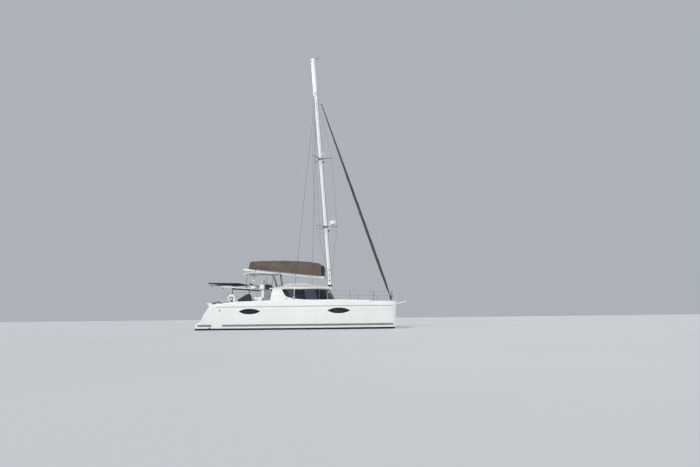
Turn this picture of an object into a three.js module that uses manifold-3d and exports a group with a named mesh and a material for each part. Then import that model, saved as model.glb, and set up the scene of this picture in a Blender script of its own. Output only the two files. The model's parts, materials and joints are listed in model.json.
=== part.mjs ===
// A 13 metre sailing catamaran at anchor, at full size.
// Millimetres. +X is the bow, +Y is port, +Z is up.
// The origin is on the waterline, on the centre plane, halfway along the hulls.

import * as THREE from 'three';
import { mergeVertices } from 'three/addons/utils/BufferGeometryUtils.js';
import Module from 'manifold-3d';

const wasm = await Module();
wasm.setup();

// Driving dimensions
const gap = 0.4;
const runningClearance = 6;
const hullCentreY = 2720;
const tunnelRoofZ = 780;
const soleZ = 980;
const cabinBaseZ = 1830;
const wallTopZ = 2655;
const wallThickness = 40;
const glassThickness = 7;
const keelBottomZ = -1180;
const rudderX = -5550;
const driveX = -4250;
const shaftZ = -860;
const mastFoot = { x: 2075, z: 2905 };
const mastHead = { x: 850, z: 20185 };
const houndsZ = 17400;
const gooseneck = { x: 1720, z: 3516 };
const boomSlope = 0.115;
const stayFoot = { x: 6450, z: 1620 };

// Hull stations from stern to bow. x: place on the waterline, depth: canoe body below water,
// water: half breadth at the waterline, out and inn: half breadths of the deck, deck: its height
const hullStations = [
  { x: -6500, depth: 60, water: 480, out: 800, inn: 760, deck: 1590 },
  { x: -5900, depth: 190, water: 560, out: 880, inn: 850, deck: 1600 },
  { x: -5400, depth: 290, water: 600, out: 920, inn: 920, deck: 1620 },
  { x: -4140, depth: 430, water: 650, out: 960, inn: 980, deck: 1725 },
  { x: -3400, depth: 490, water: 665, out: 970, inn: 1000, deck: 1800 },
  { x: -1450, depth: 560, water: 680, out: 980, inn: 1000, deck: 1818 },
  { x: 600, depth: 560, water: 680, out: 980, inn: 1000, deck: 1830 },
  { x: 2900, depth: 540, water: 620, out: 930, inn: 940, deck: 1830 },
  { x: 4200, depth: 490, water: 500, out: 800, inn: 760, deck: 1795 },
  { x: 5200, depth: 400, water: 350, out: 590, inn: 520, deck: 1760 },
  { x: 6000, depth: 280, water: 190, out: 340, inn: 300, deck: 1738 },
  { x: 6400, depth: 170, water: 80, out: 160, inn: 140, deck: 1728 },
  { x: 6550, depth: 60, water: 20, out: 50, inn: 45, deck: 1725 },
];

function material(color, roughness, metalness = 0) {
  return new THREE.MeshStandardMaterial({ color, roughness, metalness });
}

const gelcoat = material(0xf1f1ec, 0.25);
const deckPaint = material(0xe4e3dc, 0.6);
const antifouling = material(0x1b2226, 0.8);
const darkGlass = material(0x20242c, 0.1);
const sparPaint = material(0xeef0f1, 0.3, 0.2);
const stainless = material(0xb9bcc0, 0.25, 0.9);
const bronze = material(0x8f7a4c, 0.4, 0.9);
const navyCanvas = material(0x1c2638, 0.9);
const taupeCanvas = material(0x6f655a, 0.9);
const greySail = material(0x50504f, 0.9);
const whiteFabric = material(0xe8e8e6, 0.8);
const cushionFabric = material(0x8d8a84, 0.9);
const netting = material(0x2c2e30, 0.9);
const solarCells = material(0x141a26, 0.2);
const enginePaint = material(0x5b6c62, 0.5);
const lightGrey = material(0xc8cacb, 0.4);

const boat = new THREE.Group();

function add(name, geometry, finish) {
  const mesh = new THREE.Mesh(geometry, finish);
  mesh.name = name;
  boat.add(mesh);
}

// Both hulls carry the same pieces, so side 1 is port and side -1 is starboard
function addPair(stem, build, finish) {
  for (const [sideName, side] of [['port', 1], ['starboard', -1]]) {
    add(`${stem}_${sideName}`, build(side), finish);
  }
}

function lerpTable(table, x, column) {
  const last = table.length - 1;
  if (x <= table[0].x) return table[0][column];
  for (let i = 0; i < last; i += 1) {
    const [a, b] = [table[i], table[i + 1]];
    if (x <= b.x) return a[column] + ((b[column] - a[column]) * (x - a.x)) / (b.x - a.x);
  }
  return table[last][column];
}

const deckZ = (x) => lerpTable(hullStations, x, 'deck');
const innerY = (x) => hullCentreY - lerpTable(hullStations, x, 'inn');
const outerY = (x) => hullCentreY + lerpTable(hullStations, x, 'out');
const lineAt = (x, [x0, z0], [x1, z1]) => z0 + ((x - x0) * (z1 - z0)) / (x1 - x0);
const mastX = (z) => lineAt(z, [mastFoot.z, mastFoot.x], [mastHead.z, mastHead.x]);
const boomZ = (x) => gooseneck.z + (gooseneck.x - x) * boomSlope;

// Booleans
function solid(geometry) {
  const bare = geometry.clone();
  bare.deleteAttribute('normal');
  bare.deleteAttribute('uv');
  const merged = mergeVertices(bare, 1e-3);
  const vertProperties = Float32Array.from(merged.attributes.position.array);
  const triVerts = Uint32Array.from(merged.index.array);
  return new wasm.Manifold(new wasm.Mesh({ numProp: 3, vertProperties, triVerts }));
}

function surface(manifold) {
  const mesh = manifold.getMesh();
  const geometry = new THREE.BufferGeometry();
  geometry.setAttribute('position', new THREE.BufferAttribute(mesh.vertProperties, 3));
  geometry.setIndex(new THREE.BufferAttribute(mesh.triVerts, 1));
  return geometry;
}

function join(...geometries) {
  return surface(geometries.map(solid).reduce((whole, piece) => whole.add(piece)));
}

function cut(base, ...tools) {
  return surface(tools.map(solid).reduce((whole, tool) => whole.subtract(tool), solid(base)));
}

function common(a, b) {
  return surface(solid(a).intersect(solid(b)));
}

// Basic shapes
function box([x0, x1], [y0, y1], [z0, z1]) {
  const geometry = new THREE.BoxGeometry(x1 - x0, y1 - y0, z1 - z0);
  return geometry.translate((x0 + x1) / 2, (y0 + y1) / 2, (z0 + z1) / 2);
}

function outlineShape(points) {
  return new THREE.Shape(points.map(([u, v]) => new THREE.Vector2(u, v)));
}

// An outline in plan, x and y, raised from z0 to z1
function planSlab(points, z0, z1) {
  const geometry = new THREE.ExtrudeGeometry(outlineShape(points), { depth: z1 - z0, bevelEnabled: false });
  return geometry.translate(0, 0, z0);
}

// An outline in side view, x and z, from y0 to y1
function sideSlab(points, y0, y1) {
  const geometry = new THREE.ExtrudeGeometry(outlineShape(points), { depth: y1 - y0, bevelEnabled: false });
  return geometry.rotateX(Math.PI / 2).translate(0, y1, 0);
}

// An outline seen from astern, y and z, from x0 to x1
function sternSlab(points, x0, x1) {
  const geometry = new THREE.ExtrudeGeometry(outlineShape(points), { depth: x1 - x0, bevelEnabled: false });
  return geometry.rotateX(Math.PI / 2).rotateZ(Math.PI / 2).translate(x0, 0, 0);
}

function rod(from, to, radius, sides = 12, endRadius = radius) {
  const [a, b] = [new THREE.Vector3(...from), new THREE.Vector3(...to)];
  const length = a.distanceTo(b);
  const geometry = new THREE.CylinderGeometry(endRadius, radius, length, sides);
  const turn = new THREE.Quaternion().setFromUnitVectors(
    new THREE.Vector3(0, 1, 0),
    b.clone().sub(a).normalize(),
  );
  return geometry.applyQuaternion(turn).translate(...a.add(b).multiplyScalar(0.5).toArray());
}

// A round tube through the points, its corners rounded by the bend length
function bentTube(points, radius, bend, steps, sides = 8) {
  const stops = points.map((point) => new THREE.Vector3(...point));
  const path = new THREE.CurvePath();
  let start = stops[0];
  for (let i = 1; i < stops.length - 1; i += 1) {
    const entry = stops[i].clone().lerp(stops[i - 1], bend / stops[i].distanceTo(stops[i - 1]));
    const exit = stops[i].clone().lerp(stops[i + 1], bend / stops[i].distanceTo(stops[i + 1]));
    path.add(new THREE.LineCurve3(start, entry));
    path.add(new THREE.QuadraticBezierCurve3(entry, stops[i], exit));
    start = exit;
  }
  path.add(new THREE.LineCurve3(start, stops[stops.length - 1]));
  return tubeAlong(path, radius, steps, sides);
}

function tubeAlong(path, radius, steps, sides) {
  const section = new THREE.Shape();
  for (let i = 0; i < sides; i += 1) {
    const angle = (2 * Math.PI * i) / sides;
    const [u, v] = [radius * Math.cos(angle), radius * Math.sin(angle)];
    if (i === 0) section.moveTo(u, v);
    else section.lineTo(u, v);
  }
  return new THREE.ExtrudeGeometry(section, { steps, extrudePath: path, bevelEnabled: false });
}

// A closed skin over rings with equally many points, with flat ends
function loft(rings, flatten = ([, y, z]) => [y, z]) {
  const count = rings[0].length;
  const faces = [];
  for (let i = 0; i < rings.length - 1; i += 1) {
    for (let j = 0; j < count; j += 1) {
      const k = (j + 1) % count;
      faces.push([rings[i][j], rings[i][k], rings[i + 1][j]]);
      faces.push([rings[i][k], rings[i + 1][k], rings[i + 1][j]]);
    }
  }
  for (const [ring, turned] of [[rings[0], true], [rings[rings.length - 1], false]]) {
    const contour = ring.map((point) => new THREE.Vector2(...flatten(point)));
    const clockwise = THREE.ShapeUtils.isClockWise(contour);
    for (const [a, b, c] of THREE.ShapeUtils.triangulateShape(contour, [])) {
      faces.push(turned !== clockwise ? [ring[a], ring[c], ring[b]] : [ring[a], ring[b], ring[c]]);
    }
  }
  let volume = 0;
  for (const [a, b, c] of faces) {
    volume += new THREE.Vector3(...a).dot(new THREE.Vector3(...b).cross(new THREE.Vector3(...c)));
  }
  const ordered = volume > 0 ? faces : faces.map(([a, b, c]) => [a, c, b]);
  const geometry = new THREE.BufferGeometry();
  geometry.setAttribute('position', new THREE.Float32BufferAttribute(ordered.flat(2), 3));
  return geometry;
}

const flattenDown = ([x, y]) => [x, y];

function ellipseRing(x, z, halfX, halfY, count) {
  return Array.from({ length: count }, (unused, i) => {
    const angle = (2 * Math.PI * i) / count;
    return [x + halfX * Math.cos(angle), halfY * Math.sin(angle), z];
  });
}

// A half outline from aft on port to the bow end on the centre line, closed over to starboard
function mirrored(half) {
  const port = half.map(([x, y]) => [x, y]);
  const starboard = port.filter(([, y]) => y > 0).map(([x, y]) => [x, -y]);
  return [...port, ...starboard.reverse()];
}

// The outline with each edge moved inwards by its own distance. Its corners all turn the same way
function inset(outline, distances) {
  const count = outline.length;
  const area = THREE.ShapeUtils.area(outline.map(([x, y]) => new THREE.Vector2(x, y)));
  const lines = outline.map(([x, y], i) => {
    const [nextX, nextY] = outline[(i + 1) % count];
    const length = Math.hypot(nextX - x, nextY - y);
    const normal = [-(nextY - y) / length, (nextX - x) / length];
    return { normal, offset: normal[0] * x + normal[1] * y + Math.sign(area) * distances[i] };
  });
  return outline.map((unused, i) => {
    const [p, q] = [lines[(i + count - 1) % count], lines[i]];
    const det = p.normal[0] * q.normal[1] - p.normal[1] * q.normal[0];
    return [
      (p.offset * q.normal[1] - q.offset * p.normal[1]) / det,
      (q.offset * p.normal[0] - p.offset * q.normal[0]) / det,
    ];
  });
}

// Hulls: round below the water, flared above it, with a step on the tunnel side
const bilgeAngles = [0, 30, 55, 75];
const topsideFractions = [0, 0.3, 0.65, 1];
const deckEdge = 30;
const tunnelStepZ = 520;
const stemRake = 0.069;

function hullRing(station, side) {
  const { x, depth, water, out, inn, deck } = station;
  const ring = [];
  const put = (y, z) => ring.push([x + (x > 6000 ? stemRake * z : 0), side * (hullCentreY + y), z]);
  for (const degrees of bilgeAngles) {
    const angle = THREE.MathUtils.degToRad(degrees);
    put(water * Math.sin(angle), -depth * Math.cos(angle));
  }
  for (const fraction of topsideFractions) {
    put(water + (out - water) * (1 - (1 - fraction) ** 2), fraction * (deck - deckEdge));
  }
  put(out - deckEdge, deck);
  put(-inn + deckEdge * 0.5, deck);
  put(-inn, deck - deckEdge * 0.5);
  put(-inn, tunnelRoofZ - 10);
  put(-water * 1.05, tunnelStepZ);
  put(-water, 0);
  for (const degrees of bilgeAngles.slice(1).reverse()) {
    const angle = THREE.MathUtils.degToRad(degrees);
    put(-water * Math.sin(angle), -depth * Math.cos(angle));
  }
  return ring;
}

const platformZ = 420;
const stepRise = 300;
const sternSlope = [
  [-6700, 395], [-6260, 395], [-5960, 450], [-5630, 1050], [-5190, 1640], [-5190, 2200], [-6700, 2200],
];
// Half of the hull's plan, which rounds its stern corners. Columns: place, half breadth
const sternPlan = [
  [-6500, 200], [-6440, 400], [-6260, 640], [-6100, 760], [-5950, 860], [-5500, 1200], [7000, 1200],
];
const stepEdgesX = [-5740, -5560, -5380, -5190];
const engineBay = { x0: -5080, x1: -4120, halfY: 360, floorZ: 250 };
const hatchRim = 45;
const hatchThickness = 36;

function stepsOutline() {
  const points = [[-6700, 2200], [-6700, platformZ]];
  stepEdgesX.forEach((x, i) => {
    points.push([x, platformZ + i * stepRise]);
    points.push([x, i === stepEdgesX.length - 1 ? 2200 : platformZ + (i + 1) * stepRise]);
  });
  return points;
}

// The strip between two heights over the deck line
function deckStrip(x0, x1, below, above) {
  return [
    [x0, deckZ(x0) + below],
    [x1, deckZ(x1) + below],
    [x1, deckZ(x1) + above],
    [x0, deckZ(x0) + above],
  ];
}

const hullBlank = (side) => loft(hullStations.map((station) => hullRing(station, side)));

function acrossHull(side, from, to) {
  const [a, b] = [side * (hullCentreY + from), side * (hullCentreY + to)];
  return [Math.min(a, b), Math.max(a, b)];
}

function hull(side) {
  const { x0, x1, halfY, floorZ } = engineBay;
  const rim = hatchRim + runningClearance;
  const stepWidth = acrossHull(side, -640, 680);
  const roundedStern = planSlab(mirrored(sternPlan), -1000, 2500).translate(0, side * hullCentreY, 0);
  return cut(
    common(hullBlank(side), roundedStern),
    sideSlab(sternSlope, ...acrossHull(side, -1200, 1200)),
    sideSlab(stepsOutline(), ...stepWidth),
    box([x0, x1], acrossHull(side, -halfY, halfY), [floorZ, 2200]),
    sideSlab(
      deckStrip(x0 - rim, x1 + rim, -hatchThickness - runningClearance, 400),
      ...acrossHull(side, -halfY - rim, halfY + rim),
    ),
    rod([rudderX, side * hullCentreY, -600], [rudderX, side * hullCentreY, 120], 38, 16),
  );
}

addPair('hull', hull, gelcoat);

addPair('engine_hatch', (side) => sideSlab(
  deckStrip(engineBay.x0 - hatchRim, engineBay.x1 + hatchRim, -hatchThickness, 4),
  ...acrossHull(side, -engineBay.halfY - hatchRim, engineBay.halfY + hatchRim),
), deckPaint);

addPair('engine', (side) => box(
  [-4980, -4220],
  acrossHull(side, -240, 240),
  [engineBay.floorZ + gap, engineBay.floorZ + 640],
), enginePaint);

// A symmetric foil section. Columns: share of the chord from the nose, share of the thickness
const foilTable = [[0, 0], [0.03, 0.3], [0.12, 0.75], [0.3, 1], [0.6, 0.72], [0.85, 0.3], [1, 0.03]];

function foilRing(noseX, chord, thickness, y, z) {
  const point = (side) => ([along, share]) => [noseX - along * chord, y + (side * share * thickness) / 2, z];
  return [...foilTable.map(point(1)), ...foilTable.slice(1).reverse().map(point(-1))];
}

// Underwater pieces stop just short of the hull that carries them
function belowHull(geometry, side) {
  return cut(geometry, hullBlank(side).translate(0, 0, -gap));
}

addPair('keel', (side) => belowHull(loft([
  foilRing(450, 1900, 240, side * hullCentreY, keelBottomZ),
  foilRing(800, 2500, 320, side * hullCentreY, -300),
], flattenDown), side), antifouling);

addPair('saildrive', (side) => belowHull(join(
  loft([
    foilRing(driveX + 130, 260, 80, side * hullCentreY, shaftZ),
    foilRing(driveX + 170, 340, 110, side * hullCentreY, -250),
  ], flattenDown),
  rod([driveX + 200, side * hullCentreY, shaftZ], [driveX - 260, side * hullCentreY, shaftZ], 45, 16, 60),
), side), lightGrey);

const rudder = { top: -330, bottom: -1060, topNose: 150, topChord: 470, bottomNose: 110, bottomChord: 360 };

addPair('rudder', (side) => {
  const y = side * hullCentreY;
  return join(
    loft([
      foilRing(rudderX + rudder.bottomNose, rudder.bottomChord, 46, y, rudder.bottom),
      foilRing(rudderX + rudder.topNose, rudder.topChord, 70, y, rudder.top),
    ], flattenDown),
    rod([rudderX, y, rudder.top - 120], [rudderX, y, 100], 30, 16),
  );
}, antifouling);

const propeller = { hubX: driveX - 266, hubLength: 170, hubRadius: 50, tipRadius: 215, blades: 3 };

function propellerBlade(angle) {
  const { hubX, hubLength, hubRadius, tipRadius } = propeller;
  const rings = [[0.5 * hubRadius, 26, 60, 38], [0.55 * tipRadius, 14, 95, 28], [tipRadius, 5, 40, 20]];
  return loft(rings.map(([radius, thickness, chord, pitch]) => {
    const lean = THREE.MathUtils.degToRad(pitch);
    return [[-1, -1], [1, -1], [1, 1], [-1, 1]].map(([along, through]) => {
      const u = (along * chord) / 2;
      const v = (through * thickness) / 2;
      const x = hubX - hubLength / 2 + u * Math.sin(lean) - v * Math.cos(lean);
      return [x, u * Math.cos(lean) + v * Math.sin(lean), radius];
    });
  }), flattenDown).rotateX(angle);
}

addPair('propeller', (side) => {
  const { hubX, hubLength, hubRadius, blades } = propeller;
  const turns = Array.from({ length: blades }, (unused, i) => (2 * Math.PI * i) / blades);
  return join(
    rod([hubX, 0, 0], [hubX - hubLength, 0, 0], hubRadius, 16, 0.6 * hubRadius),
    ...turns.map(propellerBlade),
  ).translate(0, side * hullCentreY, shaftZ);
}, bronze);

// Bridgedeck and foredeck, fitted between the hulls
const deckSpan = { aft: -4950, cabinFront: 1650, fore: 3950 };

function betweenHulls(x0, x1) {
  const inside = hullStations.map(({ x }) => x).filter((x) => x > x0 && x < x1);
  return mirrored([x0, ...inside, x1].map((x) => [x, innerY(x) - gap]));
}

add('bridgedeck', planSlab(betweenHulls(deckSpan.aft, deckSpan.fore), tunnelRoofZ, soleZ), gelcoat);

const locker = { x0: 3270, x1: 3830, y0: 330, y1: 1330, floorZ: 1250, rim: 40, lid: 36 };

function foredeck() {
  const { x0, x1, y0, y1, floorZ, rim, lid } = locker;
  const block = planSlab(betweenHulls(deckSpan.cabinFront, deckSpan.fore), soleZ + gap, cabinBaseZ);
  const wide = rim + runningClearance;
  const pockets = [1, -1].flatMap((side) => [
    box([x0, x1], side > 0 ? [y0, y1] : [-y1, -y0], [floorZ, 2200]),
    box(
      [x0 - wide, x1 + wide],
      side > 0 ? [y0 - wide, y1 + wide] : [-y1 - wide, -y0 + wide],
      [cabinBaseZ - lid - runningClearance, 2200],
    ),
  ]);
  return cut(block, ...pockets);
}

add('foredeck', foredeck(), gelcoat);

addPair('locker_lid', (side) => {
  const { x0, x1, y0, y1, rim, lid } = locker;
  const across = side > 0 ? [y0 - rim, y1 + rim] : [-y1 - rim, -y0 + rim];
  return box([x0 - rim, x1 + rim], across, [cabinBaseZ - lid, cabinBaseZ + 4]);
}, deckPaint);

// Coachroof walls. Columns: place, half breadth at the deck, and how far the next face leans in by its top
const coachroofTable = [
  [-1640, 2420, 150], [600, 2400, 165], [1350, 2220, 300], [1900, 1780, 390], [2270, 1150, 420],
  [2440, 500, 430], [2480, 0, 430],
];
const aftLean = 150;
const baseOutline = mirrored(coachroofTable);
const wallLeans = [
  ...coachroofTable.slice(0, -1).map(([, , lean]) => lean),
  ...coachroofTable.slice(0, -1).map(([, , lean]) => lean).reverse(),
  aftLean,
];
const windowBand = [
  [-900, 2620], [-630, 2190], [-390, 2080], [330, 1950], [1500, 1900], [3400, 1900], [3400, 2620],
];
const frontPillarsY = [-1300, -620, 620, 1300];
const pillarWidth = 70;

// The walls' slanted surface moved inwards by a depth, and carried past both rims by a share of its height
function cabinSurface(depth, reach, aftDepth = depth) {
  const depths = wallLeans.map((lean, i) => (i === wallLeans.length - 1 ? aftDepth : depth));
  const low = inset(baseOutline, depths);
  const high = inset(baseOutline, wallLeans.map((lean, i) => lean + depths[i]));
  const height = wallTopZ - cabinBaseZ;
  const ring = (share) => low.map(([x, y], i) => [
    x + (high[i][0] - x) * share,
    y + (high[i][1] - y) * share,
    cabinBaseZ + share * height,
  ]);
  return loft([ring(-reach), ring(1 + reach)], flattenDown);
}

const cabinLift = 0.1;
const openAftDepth = -500;
const underForwardWalls = box([1200, 4000], [-3000, 3000], [cabinBaseZ - 400, cabinBaseZ + gap]);

function coachroofWalls() {
  const band = sideSlab(windowBand, -2600, 2600);
  const pillars = frontPillarsY.map((y) => box(
    [900, 3600],
    [y - pillarWidth / 2, y + pillarWidth / 2],
    [cabinBaseZ, wallTopZ],
  ));
  const aboveTop = box([-3000, 4000], [-3000, 3000], [wallTopZ, wallTopZ + 400]);
  return cut(
    cabinSurface(0, cabinLift),
    cabinSurface(wallThickness, 0.4, openAftDepth),
    aboveTop,
    cut(band, ...pillars),
    cut(band, cabinSurface(glassThickness + 1.5, 0.4)),
    hullBlank(1).translate(0, 0, gap),
    hullBlank(-1).translate(0, 0, gap),
    underForwardWalls,
  );
}

add('coachroof_walls', coachroofWalls(), gelcoat);

// The glass stops a little inside the edge of its rebate
const glassEdge = 3;
const glassBand = [
  [-892, 2620 - glassEdge], [-624, 2193], [-386, 2083], [330, 1953], [1500, 1903], [3400, 1903],
  [3400, 2620 - glassEdge],
];

add('saloon_windows', common(
  cut(cabinSurface(0, 0), cabinSurface(glassThickness, 0.4)),
  sideSlab(glassBand, -2600, 2600),
), darkGlass);

// Roof over the saloon. Columns: place, half breadth, crown height on the centre line
const roofStations = [
  { x: -1700, half: 2330, crown: 2800 },
  { x: -1340, half: 2330, crown: 2860 },
  { x: -780, half: 2330, crown: 3125 },
  { x: 540, half: 2280, crown: 3118 },
  { x: 900, half: 2200, crown: 3032 },
  { x: 1250, half: 2025, crown: 2935 },
  { x: 1700, half: 1620, crown: 2875 },
  { x: 2000, half: 1120, crown: 2858 },
  { x: 2140, half: 620, crown: 2820 },
  { x: 2200, half: 200, crown: 2780 },
];
const roofEdge = { low: wallTopZ + gap, high: 2722 };
const roofSkin = 60;
const roofRim = 165;

function roofRing({ x, half, crown }, inward, floorZ, drop) {
  const rise = crown - roofEdge.high;
  const breadth = Math.max(half - inward, 20);
  const edge = roofEdge.high - drop;
  return [
    [-1, floorZ], [-1, edge], [-0.8, edge + 0.3 * rise], [-0.45, edge + 0.86 * rise], [0, edge + rise],
    [0.45, edge + 0.86 * rise], [0.8, edge + 0.3 * rise], [1, edge], [1, floorZ],
  ].map(([share, z]) => [x, share * breadth, z]);
}

const mastPad = box([1905, 2190], [-170, 170], [2780, mastFoot.z - gap]);

function coachroofRoof() {
  const hollow = roofStations.filter(({ x }) => x < 1950);
  return join(cut(
    loft(roofStations.map((station) => roofRing(station, 0, roofEdge.low, 0))),
    loft(hollow.map((station) => roofRing(station, roofRim, roofEdge.low - 100, roofSkin))
      .map((ring, i) => ring.map(([x, y, z]) => [i === 0 ? x + 80 : x, y, z]))),
  ), mastPad);
}

add('coachroof_roof', coachroofRoof(), gelcoat);

// Bulkhead across the front of the cockpit, its door on the aft face
const bulkhead = { x0: -1470, x1: -1430 };
const doorway = { y0: -350, y1: 550, z0: 1030, z1: 2480 };
const doorLeaf = { x0: -1512, x1: -1480, y0: -400, y1: 600, z0: 990, z1: 2530 };
const aftWindows = [[-1500, -520, 1750, 2450], [760, 1520, 1750, 2450]];

// The bulkhead stands on the cockpit sole and the side decks, between the walls
const wallFootY = 2410 - wallThickness;
const insideWallY = (z) => lineAt(z, [cabinBaseZ, wallFootY], [wallTopZ, wallFootY - coachroofTable[0][2]]);
const bulkheadFootZ = deckZ(bulkhead.x1) + 3;
const bulkheadTopZ = wallTopZ - 2;
const bulkheadHalf = [
  [1718, soleZ + gap], [1718, bulkheadFootZ], [insideWallY(bulkheadFootZ), bulkheadFootZ],
  [insideWallY(bulkheadTopZ), bulkheadTopZ],
];
const bulkheadOutline = [...bulkheadHalf, ...bulkheadHalf.map(([y, z]) => [-y, z]).reverse()];

add('saloon_bulkhead', cut(
  sternSlab(bulkheadOutline, bulkhead.x0, bulkhead.x1),
  box([-1600, -1300], [doorway.y0, doorway.y1], [doorway.z0, doorway.z1]),
  ...aftWindows.map(([y0, y1, z0, z1]) => box([-1600, -1300], [y0, y1], [z0, z1])),
), gelcoat);

add('saloon_door', cut(
  box([doorLeaf.x0, doorLeaf.x1], [doorLeaf.y0, doorLeaf.y1], [doorLeaf.z0, doorLeaf.z1]),
  box([-1600, -1400], [doorLeaf.y0 + 90, doorLeaf.y1 - 90], [doorLeaf.z0 + 420, doorLeaf.z1 - 90]),
), lightGrey);

// Cockpit
const aftBench = [
  [-4950, soleZ + gap], [-4330, soleZ + gap], [-4330, 1400], [-4800, 1400], [-4850, 1750], [-4950, 1750],
];
add('aft_crossbeam', sideSlab(aftBench, -1700, 1700), gelcoat);

const settee = { x0: -4300, x1: -2100, y0: 1120, y1: 1700, z1: 1400, cushion: 110 };
add('cockpit_settee', box(
  [settee.x0, settee.x1],
  [settee.y0, settee.y1],
  [soleZ + gap, settee.z1],
), gelcoat);
add('settee_cushion', box(
  [settee.x0 + 10, settee.x1 - 10],
  [settee.y0 + 10, settee.y1 - 10],
  [settee.z1 + 1, settee.z1 + settee.cushion],
), cushionFabric);
const table = { x: -3200, y: 520, halfX: 700, halfY: 400, z0: 1690, z1: 1725 };
const tableFoot = [table.x, table.y, soleZ + gap];
add('cockpit_table', join(
  box([table.x - table.halfX, table.x + table.halfX], [table.y - table.halfY, table.y + table.halfY], [
    table.z0, table.z1,
  ]),
  rod(tableFoot, [table.x, table.y, table.z0 + 10], 60, 16),
  rod(tableFoot, [table.x, table.y, soleZ + 25], 190, 20),
), deckPaint);

// Hardtop over the cockpit. It rises aft and runs into the roof inboard of the helm
const hardtopSide = [
  [-5260, 2850], [-1715, 2560], [-1715, 2640], [-2360, 2690], [-5100, 2940], [-5260, 2915],
];
const [hardtopAftLow, hardtopForeLow, , hardtopForeTop, hardtopAftTop] = hardtopSide;
const hardtopPlan = mirrored([
  [-5260, 1900], [-5160, 2120], [-4900, 2200], [-2360, 2200], [-2360, 1860], [-1715, 1860],
]);
const hardtop = common(planSlab(hardtopPlan, 2300, 3100), sideSlab(hardtopSide, -2300, 2300));
add('hardtop', hardtop, gelcoat);

const underHardtop = (x) => lineAt(x, hardtopAftLow, hardtopForeLow);
const onHardtop = (x) => lineAt(x, hardtopForeTop, hardtopAftTop);
const postX = -4310;

addPair('hardtop_post', (side) => rod(
  [postX, side * 1960, deckZ(postX) + 6],
  [postX, side * 1960, underHardtop(postX) - 6],
  30,
), stainless);

// The moulded locker, column and pod beside the helm
const sideLocker = { x0: -2750, x1: -2120, y0: -2600, y1: -1920, top: 2115 };
add('helm_column', join(
  box([sideLocker.x0, sideLocker.x1], [sideLocker.y0, sideLocker.y1], [1840, sideLocker.top]),
  box([-2250, -2050], [-2280, -2080], [2000, 2800]),
  box([-2320, -2050], [-2420, -2080], [2640, 2930]),
), gelcoat);

// Helm on the forward part of the hardtop
const helm = { y0: -1700, y1: -760, consoleX0: -2230, consoleX1: -1840, top: 3005 };
const wheel = { x: -2330, y: -1320, z: 3010, radius: 285, rim: 15, shaft: 18 };
const belowHelm = sideSlab([[-2600, 2700], [-1600, 2630], [-1600, 2400], [-2600, 2400]], -3000, 3000);

add('helm_console', cut(join(
  box([helm.consoleX0, helm.consoleX1], [helm.y0, helm.y1], [2550, helm.top]),
  rod([helm.consoleX0 + 10, wheel.y, wheel.z - 20], [wheel.x + 40, wheel.y, wheel.z - 20], wheel.shaft),
), hardtop.clone().translate(0, 0, gap), belowHelm), navyCanvas);

add('helm_wheel', (() => {
  const { x, y, z, radius, rim } = wheel;
  const spokes = Array.from({ length: 5 }, (unused, i) => (2 * Math.PI * i) / 5);
  return join(
    new THREE.TorusGeometry(radius, rim, 8, 36).rotateY(Math.PI / 2),
    rod([-22, 0, 0], [34, 0, 0], 32, 16),
    ...spokes.map((angle) => rod([0, 0, 0], [0, radius * Math.sin(angle), radius * Math.cos(angle)], 8, 8)),
  ).translate(x, y, z);
})(), stainless);

const seat = { x0: -3180, x1: -2760, y0: -1860, y1: -780, cushionZ: 2960 };
const seatBaseZ = [onHardtop(seat.x0) + 2, seat.cushionZ - 70];
add('helm_seat', join(
  box([seat.x0 + 40, seat.x1 - 20], [seat.y0 + 40, seat.y1 - 40], seatBaseZ),
  box([seat.x0, seat.x1], [seat.y0, seat.y1], [seat.cushionZ - 80, seat.cushionZ]),
  box([seat.x0 - 60, seat.x0 + 50], [seat.y0, seat.y1], [seat.cushionZ - 60, seat.cushionZ + 170]),
), cushionFabric);

// Bimini over the helm: a thin arched top on two hoops
const bimini = { x0: -3555, x1: -1600, y0: -2280, y1: -430, edgeZ: 3712, rise: 90, thickness: 22 };
const archZ = (share) => bimini.edgeZ + bimini.rise * (1 - (2 * share - 1) ** 2);

function biminiTop() {
  const shares = [0, 0.12, 0.3, 0.5, 0.7, 0.88, 1];
  const upper = shares.map((share) => [bimini.x0 + share * (bimini.x1 - bimini.x0), archZ(share)]);
  const lower = upper.map(([x, z]) => [x, z - bimini.thickness]).reverse();
  return sideSlab([...upper, ...lower], bimini.y0, bimini.y1);
}

add('helm_bimini', biminiTop(), whiteFabric);

// Columns: share of the bimini's length at the top, foot place, foot height, starboard foot's place
const biminiHoops = [[0.16, -3350, 2790, -2120], [0.84, -2010, 2672, -1790]];
const hoopTopX = ([share]) => bimini.x0 + share * (bimini.x1 - bimini.x0);
const hoopTopZ = ([share]) => archZ(share) - bimini.thickness - 22;
const biminiBraceY = [-1900, -850];

add('bimini_frame', join(
  ...biminiHoops.map((hoop) => {
    const [, footX, footZ, footY] = hoop;
    const [right, left] = [bimini.y0 + 60, bimini.y1 - 60];
    return bentTube([
      [footX, footY, footZ], [hoopTopX(hoop), right, hoopTopZ(hoop)],
      [hoopTopX(hoop), left, hoopTopZ(hoop)], [footX, left, footZ],
    ], 14, 130, 32);
  }),
  ...biminiBraceY.map((y) => rod(
    [hoopTopX(biminiHoops[0]), y, hoopTopZ(biminiHoops[0])],
    [hoopTopX(biminiHoops[1]), y, hoopTopZ(biminiHoops[1])],
    11,
    8,
  )),
), stainless);

// Mast, raked aft, with its spreaders and diamond wires
const mastSection = { halfX: 130, halfY: 75 };

function mastBlank(extra, z0, z1, headShare = 0.85) {
  const ring = (z, share) => ellipseRing(
    mastX(z), z, share * mastSection.halfX + extra, share * mastSection.halfY + extra, 20,
  );
  return loft([ring(z0, 1), ring(Math.min(houndsZ, z1), 1), ring(z1 + 1, headShare)], flattenDown);
}

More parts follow.
